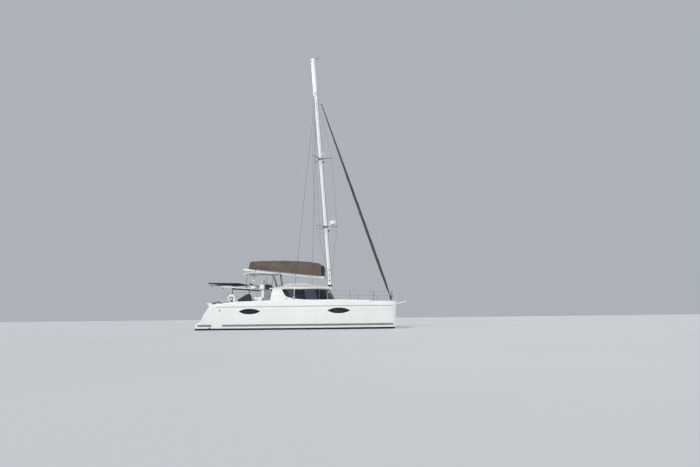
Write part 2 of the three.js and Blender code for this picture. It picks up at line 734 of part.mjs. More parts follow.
add('mast', join(
  mastBlank(0, mastFoot.z, mastHead.z),
  box([630, 1010], [-35, 35], [mastHead.z - 160, mastHead.z - 60]),
), sparPaint);

// Columns: height on the mast, side tips' place, forward tip's place, tip height
const spreaderTable = [
  { name: 'spreaders_lower', z: 7140, sideX: 1230, foreX: 2580, tipZ: 7170 },
  { name: 'spreaders_upper', z: 12230, sideX: 920, foreX: 2230, tipZ: 12270 },
];
const spreaderTipY = 850;

for (const { name, z, sideX, foreX, tipZ } of spreaderTable) {
  const centre = [mastX(z), 0, z];
  const tips = [[sideX, spreaderTipY, tipZ], [sideX, -spreaderTipY, tipZ], [foreX, 0, tipZ]];
  add(name, cut(
    join(
      loft([-60, 60].map((dz) => ellipseRing(
        mastX(z + dz), z + dz, mastSection.halfX + 22, mastSection.halfY + 22, 20,
      )), flattenDown),
      ...tips.map((tip) => rod(centre, tip, 30, 10, 20)),
    ),
    mastBlank(0.8, z - 400, z + 400, 1),
  ), sparPaint);
}

const wireRadius = 7;
const diamondFootZ = 3400;
const diamondHeadZ = 16600;

function wireThrough(points, radius) {
  return join(...points.slice(1).map((point, i) => rod(points[i], point, radius, 8)));
}

function diamondWire(sideSign) {
  const clear = wireRadius + 1;
  const surfaceAt = (z) => (sideSign === 0
    ? [mastX(z) + mastSection.halfX + clear, 0, z]
    : [mastX(z), sideSign * (mastSection.halfY + clear), z]);
  const tipAt = ({ sideX, foreX, tipZ }) => (sideSign === 0
    ? [foreX + clear + 6, 0, tipZ]
    : [sideX - 4, sideSign * (spreaderTipY + clear + 13), tipZ]);
  const points = [surfaceAt(diamondFootZ), ...spreaderTable.map(tipAt), surfaceAt(diamondHeadZ)];
  return wireThrough(points, wireRadius);
}

add('diamond_wire_port', diamondWire(1), stainless);
add('diamond_wire_starboard', diamondWire(-1), stainless);
add('diamond_wire_forward', diamondWire(0), stainless);

const chainplate = { x: 190, y: 3600 };
addPair('cap_shroud', (side) => wireThrough([
  [chainplate.x, side * chainplate.y, deckZ(chainplate.x) + 2],
  [mastX(houndsZ), side * (mastSection.halfY + 10), houndsZ],
], wireRadius), stainless);

// Forestay with the furled headsail round it
const stayHead = { x: mastX(houndsZ) + mastSection.halfX + 12, z: houndsZ };
const stayPoint = (z) => {
  const share = (z - stayFoot.z) / (stayHead.z - stayFoot.z);
  return [stayFoot.x + share * (stayHead.x - stayFoot.x), 0, z];
};
const drum = { lowZ: 1930, highZ: 2060, radius: 85 };

add('forestay', join(
  rod(stayPoint(stayFoot.z), stayPoint(stayHead.z), 9, 8),
  rod(stayPoint(drum.lowZ), stayPoint(drum.highZ), drum.radius, 20),
), stainless);

// Columns: height, radius of the rolled sail
const sailRoll = [[2150, 45], [2500, 80], [4500, 110], [9000, 105], [13500, 75], [16340, 35]];

function furledSail() {
  const [lowZ, highZ] = [sailRoll[0][0], sailRoll[sailRoll.length - 1][0]];
  const [a, b] = [new THREE.Vector3(...stayPoint(lowZ)), new THREE.Vector3(...stayPoint(highZ))];
  const along = ([z]) => ((z - lowZ) / (highZ - lowZ)) * a.distanceTo(b);
  const profile = [
    new THREE.Vector2(0, 0),
    ...sailRoll.map((row) => new THREE.Vector2(row[1], along(row))),
    new THREE.Vector2(0, a.distanceTo(b)),
  ];
  const direction = b.clone().sub(a).normalize();
  const turn = new THREE.Quaternion().setFromUnitVectors(new THREE.Vector3(0, 1, 0), direction);
  const roll = new THREE.LatheGeometry(profile, 14).applyQuaternion(turn).translate(...a.toArray());
  return cut(roll, rod(stayPoint(stayFoot.z), stayPoint(stayHead.z), 10, 8));
}

add('furled_headsail', furledSail(), greySail);

// Boom, hinged on a pin parallel to the mast
const boom = { foreX: 1620, aftX: -4200, halfY: 60, halfZ: 75 };
const pinAxis = new THREE.Vector3(mastHead.x - mastFoot.x, 0, mastHead.z - mastFoot.z).normalize();
const pinPoint = (along) => [gooseneck.x + along * pinAxis.x, 0, gooseneck.z + along * pinAxis.z];

function boomRing(x, share) {
  return Array.from({ length: 12 }, (unused, i) => {
    const angle = (2 * Math.PI * i) / 12;
    return [x, share * boom.halfY * Math.cos(angle), boomZ(x) + share * boom.halfZ * Math.sin(angle)];
  });
}

add('boom', cut(
  join(
    loft([boomRing(boom.aftX, 0.75), boomRing(boom.aftX + 300, 1), boomRing(boom.foreX, 1)]),
    rod(pinPoint(-45), pinPoint(45), 34, 16),
    box([boom.foreX - 40, gooseneck.x], [-22, 22], [gooseneck.z - 40, gooseneck.z + 45]),
  ),
  rod(pinPoint(-200), pinPoint(200), 14, 12),
), sparPaint);

add('gooseneck', cut(
  join(
    box([gooseneck.x - 30, mastX(gooseneck.z)], [-30, 30], [gooseneck.z - 75, gooseneck.z - 52]),
    box([gooseneck.x - 30, mastX(gooseneck.z)], [-30, 30], [gooseneck.z + 52, gooseneck.z + 75]),
    rod(pinPoint(-70), pinPoint(70), 12, 12),
  ),
  mastBlank(0.8, gooseneck.z - 300, gooseneck.z + 300, 1),
), stainless);

// Sail cover. Columns: place, height of its ridge, half breadth near the boom, half breadth at the ridge
const coverStations = [
  [-3800, 4330, 60, 30], [-3660, 4760, 120, 40], [-2260, 4785, 165, 45], [-440, 4735, 180, 50],
  [900, 4600, 185, 55], [1400, 4490, 160, 50], [1500, 3790, 90, 45],
];

add('sail_cover', loft(coverStations.map(([x, ridgeZ, halfLow, halfHigh]) => {
  const foot = boomZ(x) + boom.halfZ + 6;
  const height = Math.max(ridgeZ - foot, 40);
  return [
    [0, 0], [halfLow, 0.08], [halfLow * 1.05, 0.35], [halfHigh * 1.6, 0.8], [halfHigh, 0.97], [0, 1],
    [-halfHigh, 0.97], [-halfHigh * 1.6, 0.8], [-halfLow * 1.05, 0.35], [-halfLow, 0.08],
  ].map(([y, share]) => [x, y, foot + share * height]);
})), taupeCanvas);

// Radar on the front of the mast
const radar = { x: 2305, z: 7300, radius: 255 };
const domeProfile = [[0, 0], [200, 0], [radar.radius, 60], [radar.radius, 190], [190, 270], [0, 280]];
add('radar_dome', cut(
  join(
    new THREE.LatheGeometry(domeProfile.map(([r, h]) => new THREE.Vector2(r, h)), 24)
      .rotateX(Math.PI / 2)
      .translate(radar.x, 0, radar.z),
    box([mastX(radar.z), radar.x + 90], [-50, 50], [radar.z - 35, radar.z + 10]),
  ),
  mastBlank(0.8, radar.z - 400, radar.z + 600, 1),
), whiteFabric);

// Crossbeam, bowsprit and nets between the bows
const crossbeam = { x: 6250, z: 1400, radius: 80 };
const bowInnerY = (x, z) => innerY(x > 6000 ? x - stemRake * z : x);
const beamHalf = bowInnerY(crossbeam.x - crossbeam.radius, crossbeam.z) - 6;
const beamEnd = (side) => [crossbeam.x, side * beamHalf, crossbeam.z];
add('crossbeam', rod(beamEnd(-1), beamEnd(1), crossbeam.radius, 20), sparPaint);

add('bowsprit', join(
  box([deckSpan.fore + 1, 6560], [-75, 75], [1486, 1600]),
  rod([6480, 0, 1545], [7440, 0, 1785], 45, 14, 38),
), sparPaint);

const net = {
  x0: deckSpan.fore + 10,
  x1: crossbeam.x - crossbeam.radius - 10,
  z0: 1560,
  z1: 1574,
  innerY: 82,
};
addPair('trampoline', (side) => {
  const stops = [net.x0, 4200, 5200, 6000, net.x1];
  const outer = stops.map((x) => [x, side * (bowInnerY(x, net.z0) - 8)]);
  const outline = [[net.x0, side * net.innerY], ...outer, [net.x1, side * net.innerY]];
  return planSlab(outline, net.z0, net.z1);
}, netting);

// Guardrails: pulpit, stanchions and two lifelines on each side, joined
const railInset = 60;
const railFoot = 3;
const stanchionsX = [5250, 3790, 1850, -250, -2150, -4050];
const stanchionHeight = 620;
const lifelineHeights = [320, 600];
const pulpit = { x: 6370, rake: 50, height: 600 };

addPair('guardrail', (side) => {
  const railY = (x) => side * (outerY(x) - railInset);
  const foot = (x) => [x, railY(x), deckZ(x) + railFoot];
  const at = (x, height) => [x, railY(x), deckZ(x) + height];
  const pulpitFootZ = deckZ(pulpit.x) + 18;
  const pulpitTube = bentTube([
    [pulpit.x, side * (hullCentreY + 60), pulpitFootZ],
    [pulpit.x - pulpit.rake, side * (hullCentreY + 140), deckZ(pulpit.x) + pulpit.height],
    [pulpit.x - pulpit.rake, side * (hullCentreY - 180), deckZ(pulpit.x) + pulpit.height],
    [pulpit.x, side * (hullCentreY - 60), pulpitFootZ],
  ], 13, 80, 26);
  const posts = stanchionsX.map((x) => rod(foot(x), at(x, stanchionHeight), 13, 8));
  const lines = lifelineHeights.flatMap((height) => {
    const share = height / pulpit.height;
    const pulpitY = side * (hullCentreY + 60 + 80 * share);
    const pulpitEnd = [pulpit.x - share * pulpit.rake, pulpitY, deckZ(pulpit.x) + height];
    const stops = [pulpitEnd, ...stanchionsX.map((x) => at(x, height))];
    return stops.slice(1).map((stop, i) => rod(stops[i], stop, 6, 6));
  });
  return join(pulpitTube, ...posts, ...lines);
}, stainless);

// Davits: two arms on the hardtop that reach out over the stern, under the solar panel
const davit = { y: 1150, foreX: -4200, kneeX: -5200, aftX: -6320, aftZ: 3098, radius: 28 };
const davitLift = davit.radius + 12;
const davitZ = (x) => (x > davit.kneeX
  ? onHardtop(x) + davitLift
  : lineAt(x, [davit.kneeX, onHardtop(davit.kneeX) + davitLift], [davit.aftX, davit.aftZ]));
const davitPoint = (x, side, dz = 0) => [x, side * davit.y, davitZ(x) + dz];
add('davits', join(
  ...[1, -1].map((side) => bentTube(
    [davit.foreX, davit.kneeX, davit.aftX].map((x) => davitPoint(x, side)),
    davit.radius,
    150,
    16,
    12,
  )),
  ...[-4300, -4980].flatMap((x) => [1, -1].map((side) => rod(
    [x, side * davit.y, onHardtop(x) + 6],
    davitPoint(x, side),
    45,
    12,
    davit.radius,
  ))),
  ...[-5150, -6260].map((x) => rod(davitPoint(x, -1), davitPoint(x, 1), 22, 10)),
), stainless);

const panel = { aft: [-6330, 3180], fore: [-4100, 3115], thickness: 36, halfY: 1200 };
add('solar_panel', sideSlab([
  panel.aft, panel.fore,
  ...[panel.fore, panel.aft].map(([x, z]) => [x, z - panel.thickness]),
], -panel.halfY, panel.halfY), solarCells);

// Things on the side deck: a horseshoe buoy and a covered locker
const buoy = { x: -3930, y: -3330, z: 2010, radius: 200, tube: 62, mouth: 38 };

function horseshoe() {
  const arc = Array.from({ length: 13 }, (unused, i) => {
    const angle = THREE.MathUtils.degToRad(-90 + buoy.mouth + ((360 - 2 * buoy.mouth) * i) / 12);
    const [along, up] = [buoy.radius * Math.cos(angle), buoy.radius * Math.sin(angle)];
    return new THREE.Vector3(buoy.x + along, buoy.y, buoy.z + up);
  });
  return tubeAlong(new THREE.CatmullRomCurve3(arc), buoy.tube, 20, 10);
}

add('horseshoe_buoy', horseshoe(), whiteFabric);

// Columns: place, half breadth, height of the canvas over the deck
const canvasStations = [
  [-3600, 170, 170], [-3400, 270, 270], [-2930, 300, 510], [-2800, 290, 455], [-2765, 240, 270],
];
const canvasY = -2900;
add('locker_cover', loft(canvasStations.map(([x, half, height]) => {
  const foot = deckZ(x) + 4;
  return [[-1, 0], [-0.92, 0.55], [-0.5, 0.92], [0, 1], [0.5, 0.92], [0.92, 0.55], [1, 0]]
    .map(([share, rise]) => [x, canvasY + share * half, foot + rise * height]);
})), navyCanvas);

export default boat;
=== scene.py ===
"""The looks of a 13 metre sailing catamaran at anchor. Metres. +X is the bow, +Y is port, +Z is up.

The floor of the scene is at the waterline.
"""

import json
from math import atan2, copysign, cos, exp, pi, radians, sin, sqrt

import bmesh
import bpy
from mathutils import Matrix, Vector

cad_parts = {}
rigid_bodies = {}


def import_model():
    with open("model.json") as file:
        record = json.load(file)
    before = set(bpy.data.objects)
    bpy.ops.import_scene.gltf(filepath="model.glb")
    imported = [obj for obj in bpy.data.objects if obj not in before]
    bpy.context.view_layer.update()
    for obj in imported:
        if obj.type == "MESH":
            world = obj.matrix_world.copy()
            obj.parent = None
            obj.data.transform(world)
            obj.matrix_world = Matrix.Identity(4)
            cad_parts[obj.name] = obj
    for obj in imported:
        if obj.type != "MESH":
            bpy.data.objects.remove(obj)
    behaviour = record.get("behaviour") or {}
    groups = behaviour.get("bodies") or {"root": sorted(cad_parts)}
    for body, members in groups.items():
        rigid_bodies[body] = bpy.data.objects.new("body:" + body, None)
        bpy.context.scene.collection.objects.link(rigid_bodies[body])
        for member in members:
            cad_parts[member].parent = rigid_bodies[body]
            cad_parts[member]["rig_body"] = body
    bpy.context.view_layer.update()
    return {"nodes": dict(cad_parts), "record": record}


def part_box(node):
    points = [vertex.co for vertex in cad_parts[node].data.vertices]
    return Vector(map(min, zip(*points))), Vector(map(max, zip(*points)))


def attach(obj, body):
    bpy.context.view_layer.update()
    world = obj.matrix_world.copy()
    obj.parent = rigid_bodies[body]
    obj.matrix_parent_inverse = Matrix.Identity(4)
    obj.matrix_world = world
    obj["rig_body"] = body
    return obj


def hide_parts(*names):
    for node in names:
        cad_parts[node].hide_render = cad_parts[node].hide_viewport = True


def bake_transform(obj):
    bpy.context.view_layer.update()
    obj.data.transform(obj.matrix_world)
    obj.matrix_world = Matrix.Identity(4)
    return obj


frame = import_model()

SIDES = {"port": 1, "starboard": -1}
AHEAD, ACROSS, UP = Vector((1, 0, 0)), Vector((0, 1, 0)), Vector((0, 0, 1))

# Camera and light
PICTURE_WIDTH, FOCAL_PIXELS, SENSOR_WIDTH = 700, 505, 36
CAMERA_PLACE = Vector((6.624, -35.433, 0.802))
YAW, PITCH, ROLL = radians(5.0), radians(9.3), radians(0.673)
FLOOR_REACH = 170


def in_scene(name, data):
    """A new object with the given name and data"""
    thing = bpy.data.objects.new(name, data)
    bpy.context.scene.collection.objects.link(thing)
    return thing


def make_camera():
    right = Vector((cos(YAW), sin(YAW), 0))
    forward = Vector((-sin(YAW), cos(YAW), 0)) * cos(PITCH) + UP * sin(PITCH)
    up = right.cross(forward)
    turned_right = right * cos(ROLL) - up * sin(ROLL)
    turned_up = right * sin(ROLL) + up * cos(ROLL)
    data = bpy.data.cameras.new("camera")
    data.sensor_width = SENSOR_WIDTH
    data.lens = FOCAL_PIXELS / PICTURE_WIDTH * SENSOR_WIDTH
    data.clip_end = 500
    camera = in_scene("camera", data)
    place = Matrix((turned_right, turned_up, -forward)).transposed().to_4x4()
    place.translation = CAMERA_PLACE
    camera.matrix_world = place
    bpy.context.scene.camera = camera


def add_sun(name, place, target, width, power, tint=(1, 1, 1)):
    """A light as wide as the given angle, in degrees, so that its shadows are soft"""
    data = bpy.data.lights.new(name, "SUN")
    data.angle, data.energy, data.color = radians(width), power, tint
    light = in_scene(name, data)
    light.location = place
    light.rotation_euler = (Vector(target) - Vector(place)).to_track_quat("-Z", "Y").to_euler()


def make_studio():
    world = bpy.data.worlds.new("studio")
    world.use_nodes = True
    background = world.node_tree.nodes["Background"]
    background.inputs["Color"].default_value = (0.80, 0.86, 0.93, 1)
    background.inputs["Strength"].default_value = 0.52
    bpy.context.scene.world = world
    bpy.context.scene.view_settings.view_transform = "Standard"
    middle = (0, 0, 4)
    add_sun("key", (-22, -34, 30), middle, 10, 1.95, (1, 0.98, 0.94))
    add_sun("fill", (26, -30, 12), middle, 40, 0.35)
    add_sun("back", (8, 36, 26), middle, 30, 0.55)
    mesh = bpy.data.meshes.new("floor")
    outline = oblong(-FLOOR_REACH, FLOOR_REACH, -FLOOR_REACH, FLOOR_REACH)
    mesh.from_pydata([(x, y, 0) for x, y in outline], [], [(0, 1, 2, 3)])
    floor = in_scene("floor", mesh)
    mesh.materials.append(finish("floor", (0.62, 0.64, 0.66), (0.66, 0.68, 0.70), 0.05, (0.8, 0.9)))


# Materials
def shader_of(material):
    tree = material.node_tree
    return tree, tree.nodes["Principled BSDF"]


def texture(tree, kind, scale, stretch=(1, 1, 1)):
    """A texture laid out in the piece's own coordinates"""
    place = tree.nodes.new("ShaderNodeTexCoord")
    mapping = tree.nodes.new("ShaderNodeMapping")
    mapping.inputs["Scale"].default_value = stretch
    node = tree.nodes.new(kind)
    node.inputs["Scale"].default_value = scale
    tree.links.new(place.outputs["Object"], mapping.inputs["Vector"])
    tree.links.new(mapping.outputs["Vector"], node.inputs["Vector"])
    return node


def noise(tree, scale, detail=4.0, stretch=(1, 1, 1)):
    node = texture(tree, "ShaderNodeTexNoise", scale, stretch)
    node.inputs["Detail"].default_value = detail
    node.inputs["Roughness"].default_value = 0.55
    return node.outputs["Fac"]


def ramp(tree, value, low, high, start=0.35, end=0.65):
    """Turns a value into a colour, or a grey where low and high are numbers"""
    node = tree.nodes.new("ShaderNodeValToRGB")
    for stop, place, colour in zip(node.color_ramp.elements, (start, end), (low, high)):
        stop.position = place
        stop.color = (*colour, 1) if hasattr(colour, "__len__") else (colour, colour, colour, 1)
    tree.links.new(value, node.inputs["Fac"])
    return node.outputs["Color"]


def bump(tree, shader, height, strength, distance):
    node = tree.nodes.new("ShaderNodeBump")
    node.inputs["Strength"].default_value = strength
    node.inputs["Distance"].default_value = distance
    tree.links.new(height, node.inputs["Height"])
    previous = shader.inputs["Normal"].links
    if previous:
        tree.links.new(previous[0].from_socket, node.inputs["Normal"])
    tree.links.new(node.outputs["Normal"], shader.inputs["Normal"])


def waves(tree, scale, direction, profile="SIN", distortion=0.0):
    node = texture(tree, "ShaderNodeTexWave", scale)
    node.bands_direction, node.wave_profile = direction, profile
    node.inputs["Distortion"].default_value = distortion
    return node.outputs["Fac"]


def finish(name, low, high, scale, roughness, metallic=0.0, stretch=(1, 1, 1), grain=None, **sockets):
    """A surface whose colour and roughness wander between two values, with a fine grain in its bump"""
    material = bpy.data.materials.new(name)
    material.use_nodes = True
    tree, shader = shader_of(material)
    tree.links.new(ramp(tree, noise(tree, scale, 5, stretch), low, high), shader.inputs["Base Color"])
    tree.links.new(ramp(tree, noise(tree, scale * 2.3, 4, stretch), *roughness), shader.inputs["Roughness"])
    shader.inputs["Metallic"].default_value = metallic
    for socket, value in sockets.items():
        shader.inputs[socket.replace("_", " ")].default_value = value
    if grain:
        grain_scale, strength, distance = grain
        bump(tree, shader, noise(tree, grain_scale, 3), strength, distance)
    return material


def woven(name, low, high, roughness, thread=0.004, sheen=0.3, fade=1.2):
    """Cloth: two crossing sets of threads, faded in patches"""
    material = finish(name, low, high, fade, roughness, Sheen_Weight=sheen)
    tree, shader = shader_of(material)
    for direction in ("X", "Z"):
        bump(tree, shader, waves(tree, 1 / (thread * 20), direction, distortion=0.4), 0.25, 0.0006)
    bump(tree, shader, noise(tree, 14, 5), 0.35, 0.01)
    return material


def make_gelcoat():
    """White gelcoat with faint streaks where rain runs down"""
    white = finish(
        "gelcoat_white", (0.86, 0.87, 0.85), (0.90, 0.905, 0.885), 0.5, (0.22, 0.34),
        grain=(900, 0.05, 0.0003), Coat_Weight=0.5,
    )
    tree, shader = shader_of(white)
    streaks = ramp(tree, noise(tree, 1.1, 3, (4, 4, 0.3)), 0.955, 1.0, 0.25, 0.6)
    mixed = tree.nodes.new("ShaderNodeMix")
    mixed.data_type, mixed.blend_type = "RGBA", "MULTIPLY"
    mixed.inputs["Factor"].default_value = 0.6
    tree.links.new(shader.inputs["Base Color"].links[0].from_socket, mixed.inputs["A"])
    tree.links.new(streaks, mixed.inputs["B"])
    tree.links.new(mixed.outputs["Result"], shader.inputs["Base Color"])
    return white


def make_headsail_cloth():
    sail = woven("headsail_cloth", (0.045, 0.04, 0.036), (0.075, 0.066, 0.06), (0.75, 0.92), fade=0.9)
    tree, shader = shader_of(sail)
    bump(tree, shader, waves(tree, 1.1, "Z", "SAW", 1.5), 0.6, 0.02)
    return sail


def make_solar_cells():
    """Dark square cells with pale lines between them"""
    solar = finish(
        "solar_cells", (0.008, 0.012, 0.03), (0.014, 0.02, 0.045), 5, (0.08, 0.16), Coat_Weight=0.8,
    )
    tree, shader = shader_of(solar)
    place = tree.nodes.new("ShaderNodeTexCoord")
    cells = tree.nodes.new("ShaderNodeTexBrick")
    cells.offset = 0
    sizes = {"Scale": 1, "Brick Width": 0.16, "Row Height": 0.16, "Mortar Size": 0.004}
    for socket, value in sizes.items():
        cells.inputs[socket].default_value = value
    cells.inputs["Mortar"].default_value = (0.25, 0.27, 0.3, 1)
    tree.links.new(place.outputs["Object"], cells.inputs["Vector"])
    for socket in ("Color1", "Color2"):
        tree.links.new(shader.inputs["Base Color"].links[0].from_socket, cells.inputs[socket])
    tree.links.new(cells.outputs["Color"], shader.inputs["Base Color"])
    return solar


def make_materials():
    return {
        "gelcoat": make_gelcoat(),
        "deck": finish(
            "deck_non_slip", (0.62, 0.63, 0.60), (0.70, 0.70, 0.67), 1.4, (0.6, 0.8),
            grain=(260, 0.5, 0.002),
        ),
        "sail": make_headsail_cloth(),
        "solar": make_solar_cells(),
        "antifouling": finish(
            "antifouling", (0.008, 0.014, 0.014), (0.02, 0.03, 0.028), 3, (0.7, 0.95),
            grain=(40, 0.3, 0.003),
        ),
        "stripe": finish("boot_stripe", (0.225, 0.193, 0.198), (0.28, 0.245, 0.25), 1.3, (0.3, 0.45)),
        "strake": finish("rub_strake", (0.33, 0.34, 0.31), (0.42, 0.43, 0.39), 2, (0.45, 0.6)),
        "glass": finish(
            "tinted_acrylic", (0.008, 0.010, 0.016), (0.018, 0.022, 0.034), 0.8, (0.06, 0.14),
            Specular_IOR_Level=0.28,
        ),
        # Paler panes: blinds behind the acrylic, their lighter tone also a painted reflection on the glass
        "blind_and_reflection": finish(
            "blinds_and_painted_reflection", (0.05, 0.055, 0.075), (0.075, 0.08, 0.105), 6, (0.08, 0.16),
            stretch=(9, 9, 0.3), Specular_IOR_Level=0.28,
        ),
        "rubber": finish(
            "black_rubber", (0.012, 0.012, 0.013), (0.03, 0.03, 0.03), 9, (0.6, 0.8),
            grain=(300, 0.2, 0.0005),
        ),
        "spar": finish(
            "painted_spar", (0.85, 0.865, 0.87), (0.91, 0.915, 0.91), 0.9, (0.25, 0.4), stretch=(1, 1, 0.2),
            Coat_Weight=0.3,
        ),
        # Spreaders: a mid grey laid on white spars, as painted shade for their undersides seen from below
        "grey_spar": finish("grey_spar", (0.17, 0.18, 0.19), (0.25, 0.26, 0.27), 3, (0.4, 0.55), 0.5),
        "anodised": finish(
            "anodised_metal", (0.62, 0.63, 0.64), (0.72, 0.73, 0.74), 5, (0.3, 0.42), 0.9,
            stretch=(1, 1, 0.1),
        ),
        "steel": finish("polished_steel", (0.62, 0.63, 0.64), (0.74, 0.75, 0.76), 6, (0.14, 0.28), 1.0),
        "bronze": finish(
            "cast_bronze", (0.36, 0.27, 0.13), (0.46, 0.36, 0.2), 12, (0.35, 0.6), 0.9,
            grain=(120, 0.3, 0.001),
        ),
        "engine": finish(
            "engine_enamel", (0.16, 0.21, 0.19), (0.2, 0.26, 0.23), 6, (0.35, 0.55), grain=(90, 0.2, 0.001),
        ),
        "dark_blue": finish("dark_blue_metal", (0.008, 0.020, 0.034), (0.014, 0.03, 0.05), 4, (0.45, 0.6)),
        "navy": woven("navy_canvas", (0.008, 0.016, 0.026), (0.022, 0.034, 0.050), (0.8, 0.95), sheen=0.15),
        "taupe": woven(
            "taupe_canvas", (0.088, 0.066, 0.051), (0.140, 0.112, 0.092), (0.8, 0.95), sheen=0.15, fade=0.8,
        ),
        "taupe_light": woven("faded_taupe", (0.13, 0.125, 0.12), (0.185, 0.18, 0.17), (0.8, 0.95)),
        # Near-black canvas: the tack bundle and the rolled curtain, whose dark cloth also paints the shade
        # under the hardtop
        "navy_dark": woven("dark_canvas_and_shade", (0.012, 0.013, 0.018), (0.03, 0.03, 0.036), (0.8, 0.95)),
        "buoy_cloth": woven("buoy_cloth", (0.84, 0.84, 0.80), (0.90, 0.90, 0.87), (0.5, 0.7), sheen=0.1),
        "screen": woven("grey_screen_mesh", (0.22, 0.23, 0.25), (0.34, 0.35, 0.37), (0.7, 0.9), 0.003),
        "dull_steel": finish("weathered_steel", (0.13, 0.135, 0.15), (0.23, 0.235, 0.25), 7, (0.3, 0.5), 1.0),
        "wire": finish("rigging_wire", (0.10, 0.105, 0.11), (0.17, 0.175, 0.18), 30, (0.45, 0.6), 0.8),
        # Near-black wire for the shrouds, much darker than the plain rigging wire
        "dark_wire": finish(
            "near_black_wire", (0.03, 0.032, 0.036), (0.06, 0.063, 0.07), 30, (0.5, 0.65), 0.6,
        ),
        "red_rope": woven("red_brown_canvas", (0.12, 0.062, 0.05), (0.19, 0.10, 0.08), (0.8, 0.95), 0.003),
        "drive": finish(
            "drive_enamel", (0.20, 0.21, 0.22), (0.27, 0.28, 0.29), 7, (0.4, 0.6), grain=(60, 0.2, 0.001),
        ),
        "brown_rope": woven("brown_rope", (0.14, 0.10, 0.075), (0.22, 0.165, 0.13), (0.8, 0.95), 0.003),
        "rope_grey": woven("grey_rope", (0.12, 0.12, 0.12), (0.2, 0.2, 0.19), (0.8, 0.95), 0.003),
        "strap": woven("black_webbing", (0.012, 0.012, 0.013), (0.03, 0.03, 0.03), (0.7, 0.9), 0.002),
        "white_cloth": woven(
            "white_coated_cloth", (0.74, 0.75, 0.74), (0.82, 0.83, 0.81), (0.5, 0.7), sheen=0.1,
        ),
        "cushion": woven("cushion_fabric", (0.20, 0.185, 0.165), (0.28, 0.26, 0.235), (0.8, 0.95)),
        "net": woven("black_net_cord", (0.02, 0.021, 0.023), (0.04, 0.042, 0.045), (0.75, 0.9), 0.002),
        "rope": woven("white_rope", (0.5, 0.5, 0.47), (0.66, 0.65, 0.62), (0.8, 0.95), 0.003),
        "dark_rope": woven("dark_rope", (0.02, 0.022, 0.028), (0.05, 0.05, 0.06), (0.8, 0.95), 0.003),
        "plastic": finish(
            "white_plastic", (0.80, 0.81, 0.81), (0.86, 0.87, 0.87), 3, (0.25, 0.35),
            grain=(400, 0.1, 0.0005),
        ),
        "red": finish("red_plastic", (0.30, 0.04, 0.03), (0.36, 0.06, 0.04), 5, (0.3, 0.5)),
        "green": finish("green_plastic", (0.02, 0.2, 0.08), (0.04, 0.26, 0.1), 5, (0.3, 0.5)),
    }


# Curves through tables and points
def smooth(table, x, column):
    """The column's value at x on a curve through the table that never overshoots it"""
    if x <= table[0][0]:
        return table[0][column]
    if x >= table[-1][0]:
        return table[-1][column]
    i = max(k for k in range(len(table) - 1) if table[k][0] <= x)

    def slope(k):
        return (table[k + 1][column] - table[k][column]) / (table[k + 1][0] - table[k][0])

    def tangent(k):
        if k in (0, len(table) - 1):
            return slope(0) if k == 0 else slope(k - 1)
        before, after = slope(k - 1), slope(k)
        return 0 if before * after <= 0 else 2 * before * after / (before + after)

    width = table[i + 1][0] - table[i][0]
    t = (x - table[i][0]) / width
    a, b = table[i][column], table[i + 1][column]
    return (
        (1 + 2 * t) * (1 - t) ** 2 * a + t * (1 - t) ** 2 * width * tangent(i)
        + t * t * (3 - 2 * t) * b + t * t * (t - 1) * width * tangent(i + 1)
    )


def mix(a, b, t):
    return a + (b - a) * t


def ease(a, b, x):
    t = min(max((x - a) / (b - a), 0), 1)
    return t * t * (3 - 2 * t)


def steps(a, b, count):
    return [mix(a, b, i / (count - 1)) for i in range(count)]


def turns(count):
    """Angles evenly spread round a circle"""
    return [2 * pi * k / count for k in range(count)]


def oblong(x0, x1, y0, y1):
    return [(x0, y0), (x1, y0), (x1, y1), (x0, y1)]


def rounded_oblong(x0, x1, y0, y1, radius, per=5):
    """The oblong with each corner an arc of so many points"""
    points = []
    centres = oblong(x0 + radius, x1 - radius, y0 + radius, y1 - radius)
    for (cx, cy), start in zip((*centres[2:], *centres[:2]), (0, 90, 180, 270)):
        for a in steps(start, start + 90, per):
            points.append((cx + radius * cos(radians(a)), cy + radius * sin(radians(a))))
    return points


def mirrored(outline, side):
    return [(x, side * y) for x, y in outline]


def sideways(u, v, w):
    """Places an outline drawn as a side view, with its thickness across the boat"""
    return u, w, v


def spline(points, per=8):
    """Points on a smooth curve through the given ones"""
    stops = [Vector(p) for p in points]
    last = len(stops) - 1
    out = []
    for i in range(last):
        a, b, c, d = (stops[min(max(k, 0), last)] for k in range(i - 1, i + 3))
        for j in range(per):
            t = j / per
            bend = (2 * a - 5 * b + 4 * c - d) * t * t + (3 * b - a - 3 * c + d) * t ** 3
            out.append(0.5 * (2 * b + (c - a) * t + bend))
    return [*out, stops[-1]]


def bent(points, bend, per=6):
    """A line through the points with its corners rounded by the bend length"""
    stops = [Vector(p) for p in points]
    out = [stops[0]]
    for before, corner, after in zip(stops, stops[1:], stops[2:]):
        reach = min(bend, (corner - before).length / 2, (after - corner).length / 2)
        entry = corner + (before - corner).normalized() * reach
        leave = corner + (after - corner).normalized() * reach
        out += [entry.lerp(corner, t).lerp(corner.lerp(leave, t), t) for t in steps(0, 1, per)]
    return [*out, stops[-1]]


def staple(start, end, rise, bend):
    """A line that leaves start by the rise, runs along and comes back down to end"""
    start, end, rise = Vector(start), Vector(end), Vector(rise)
    return bent([start, start + rise, end + rise, end], bend)


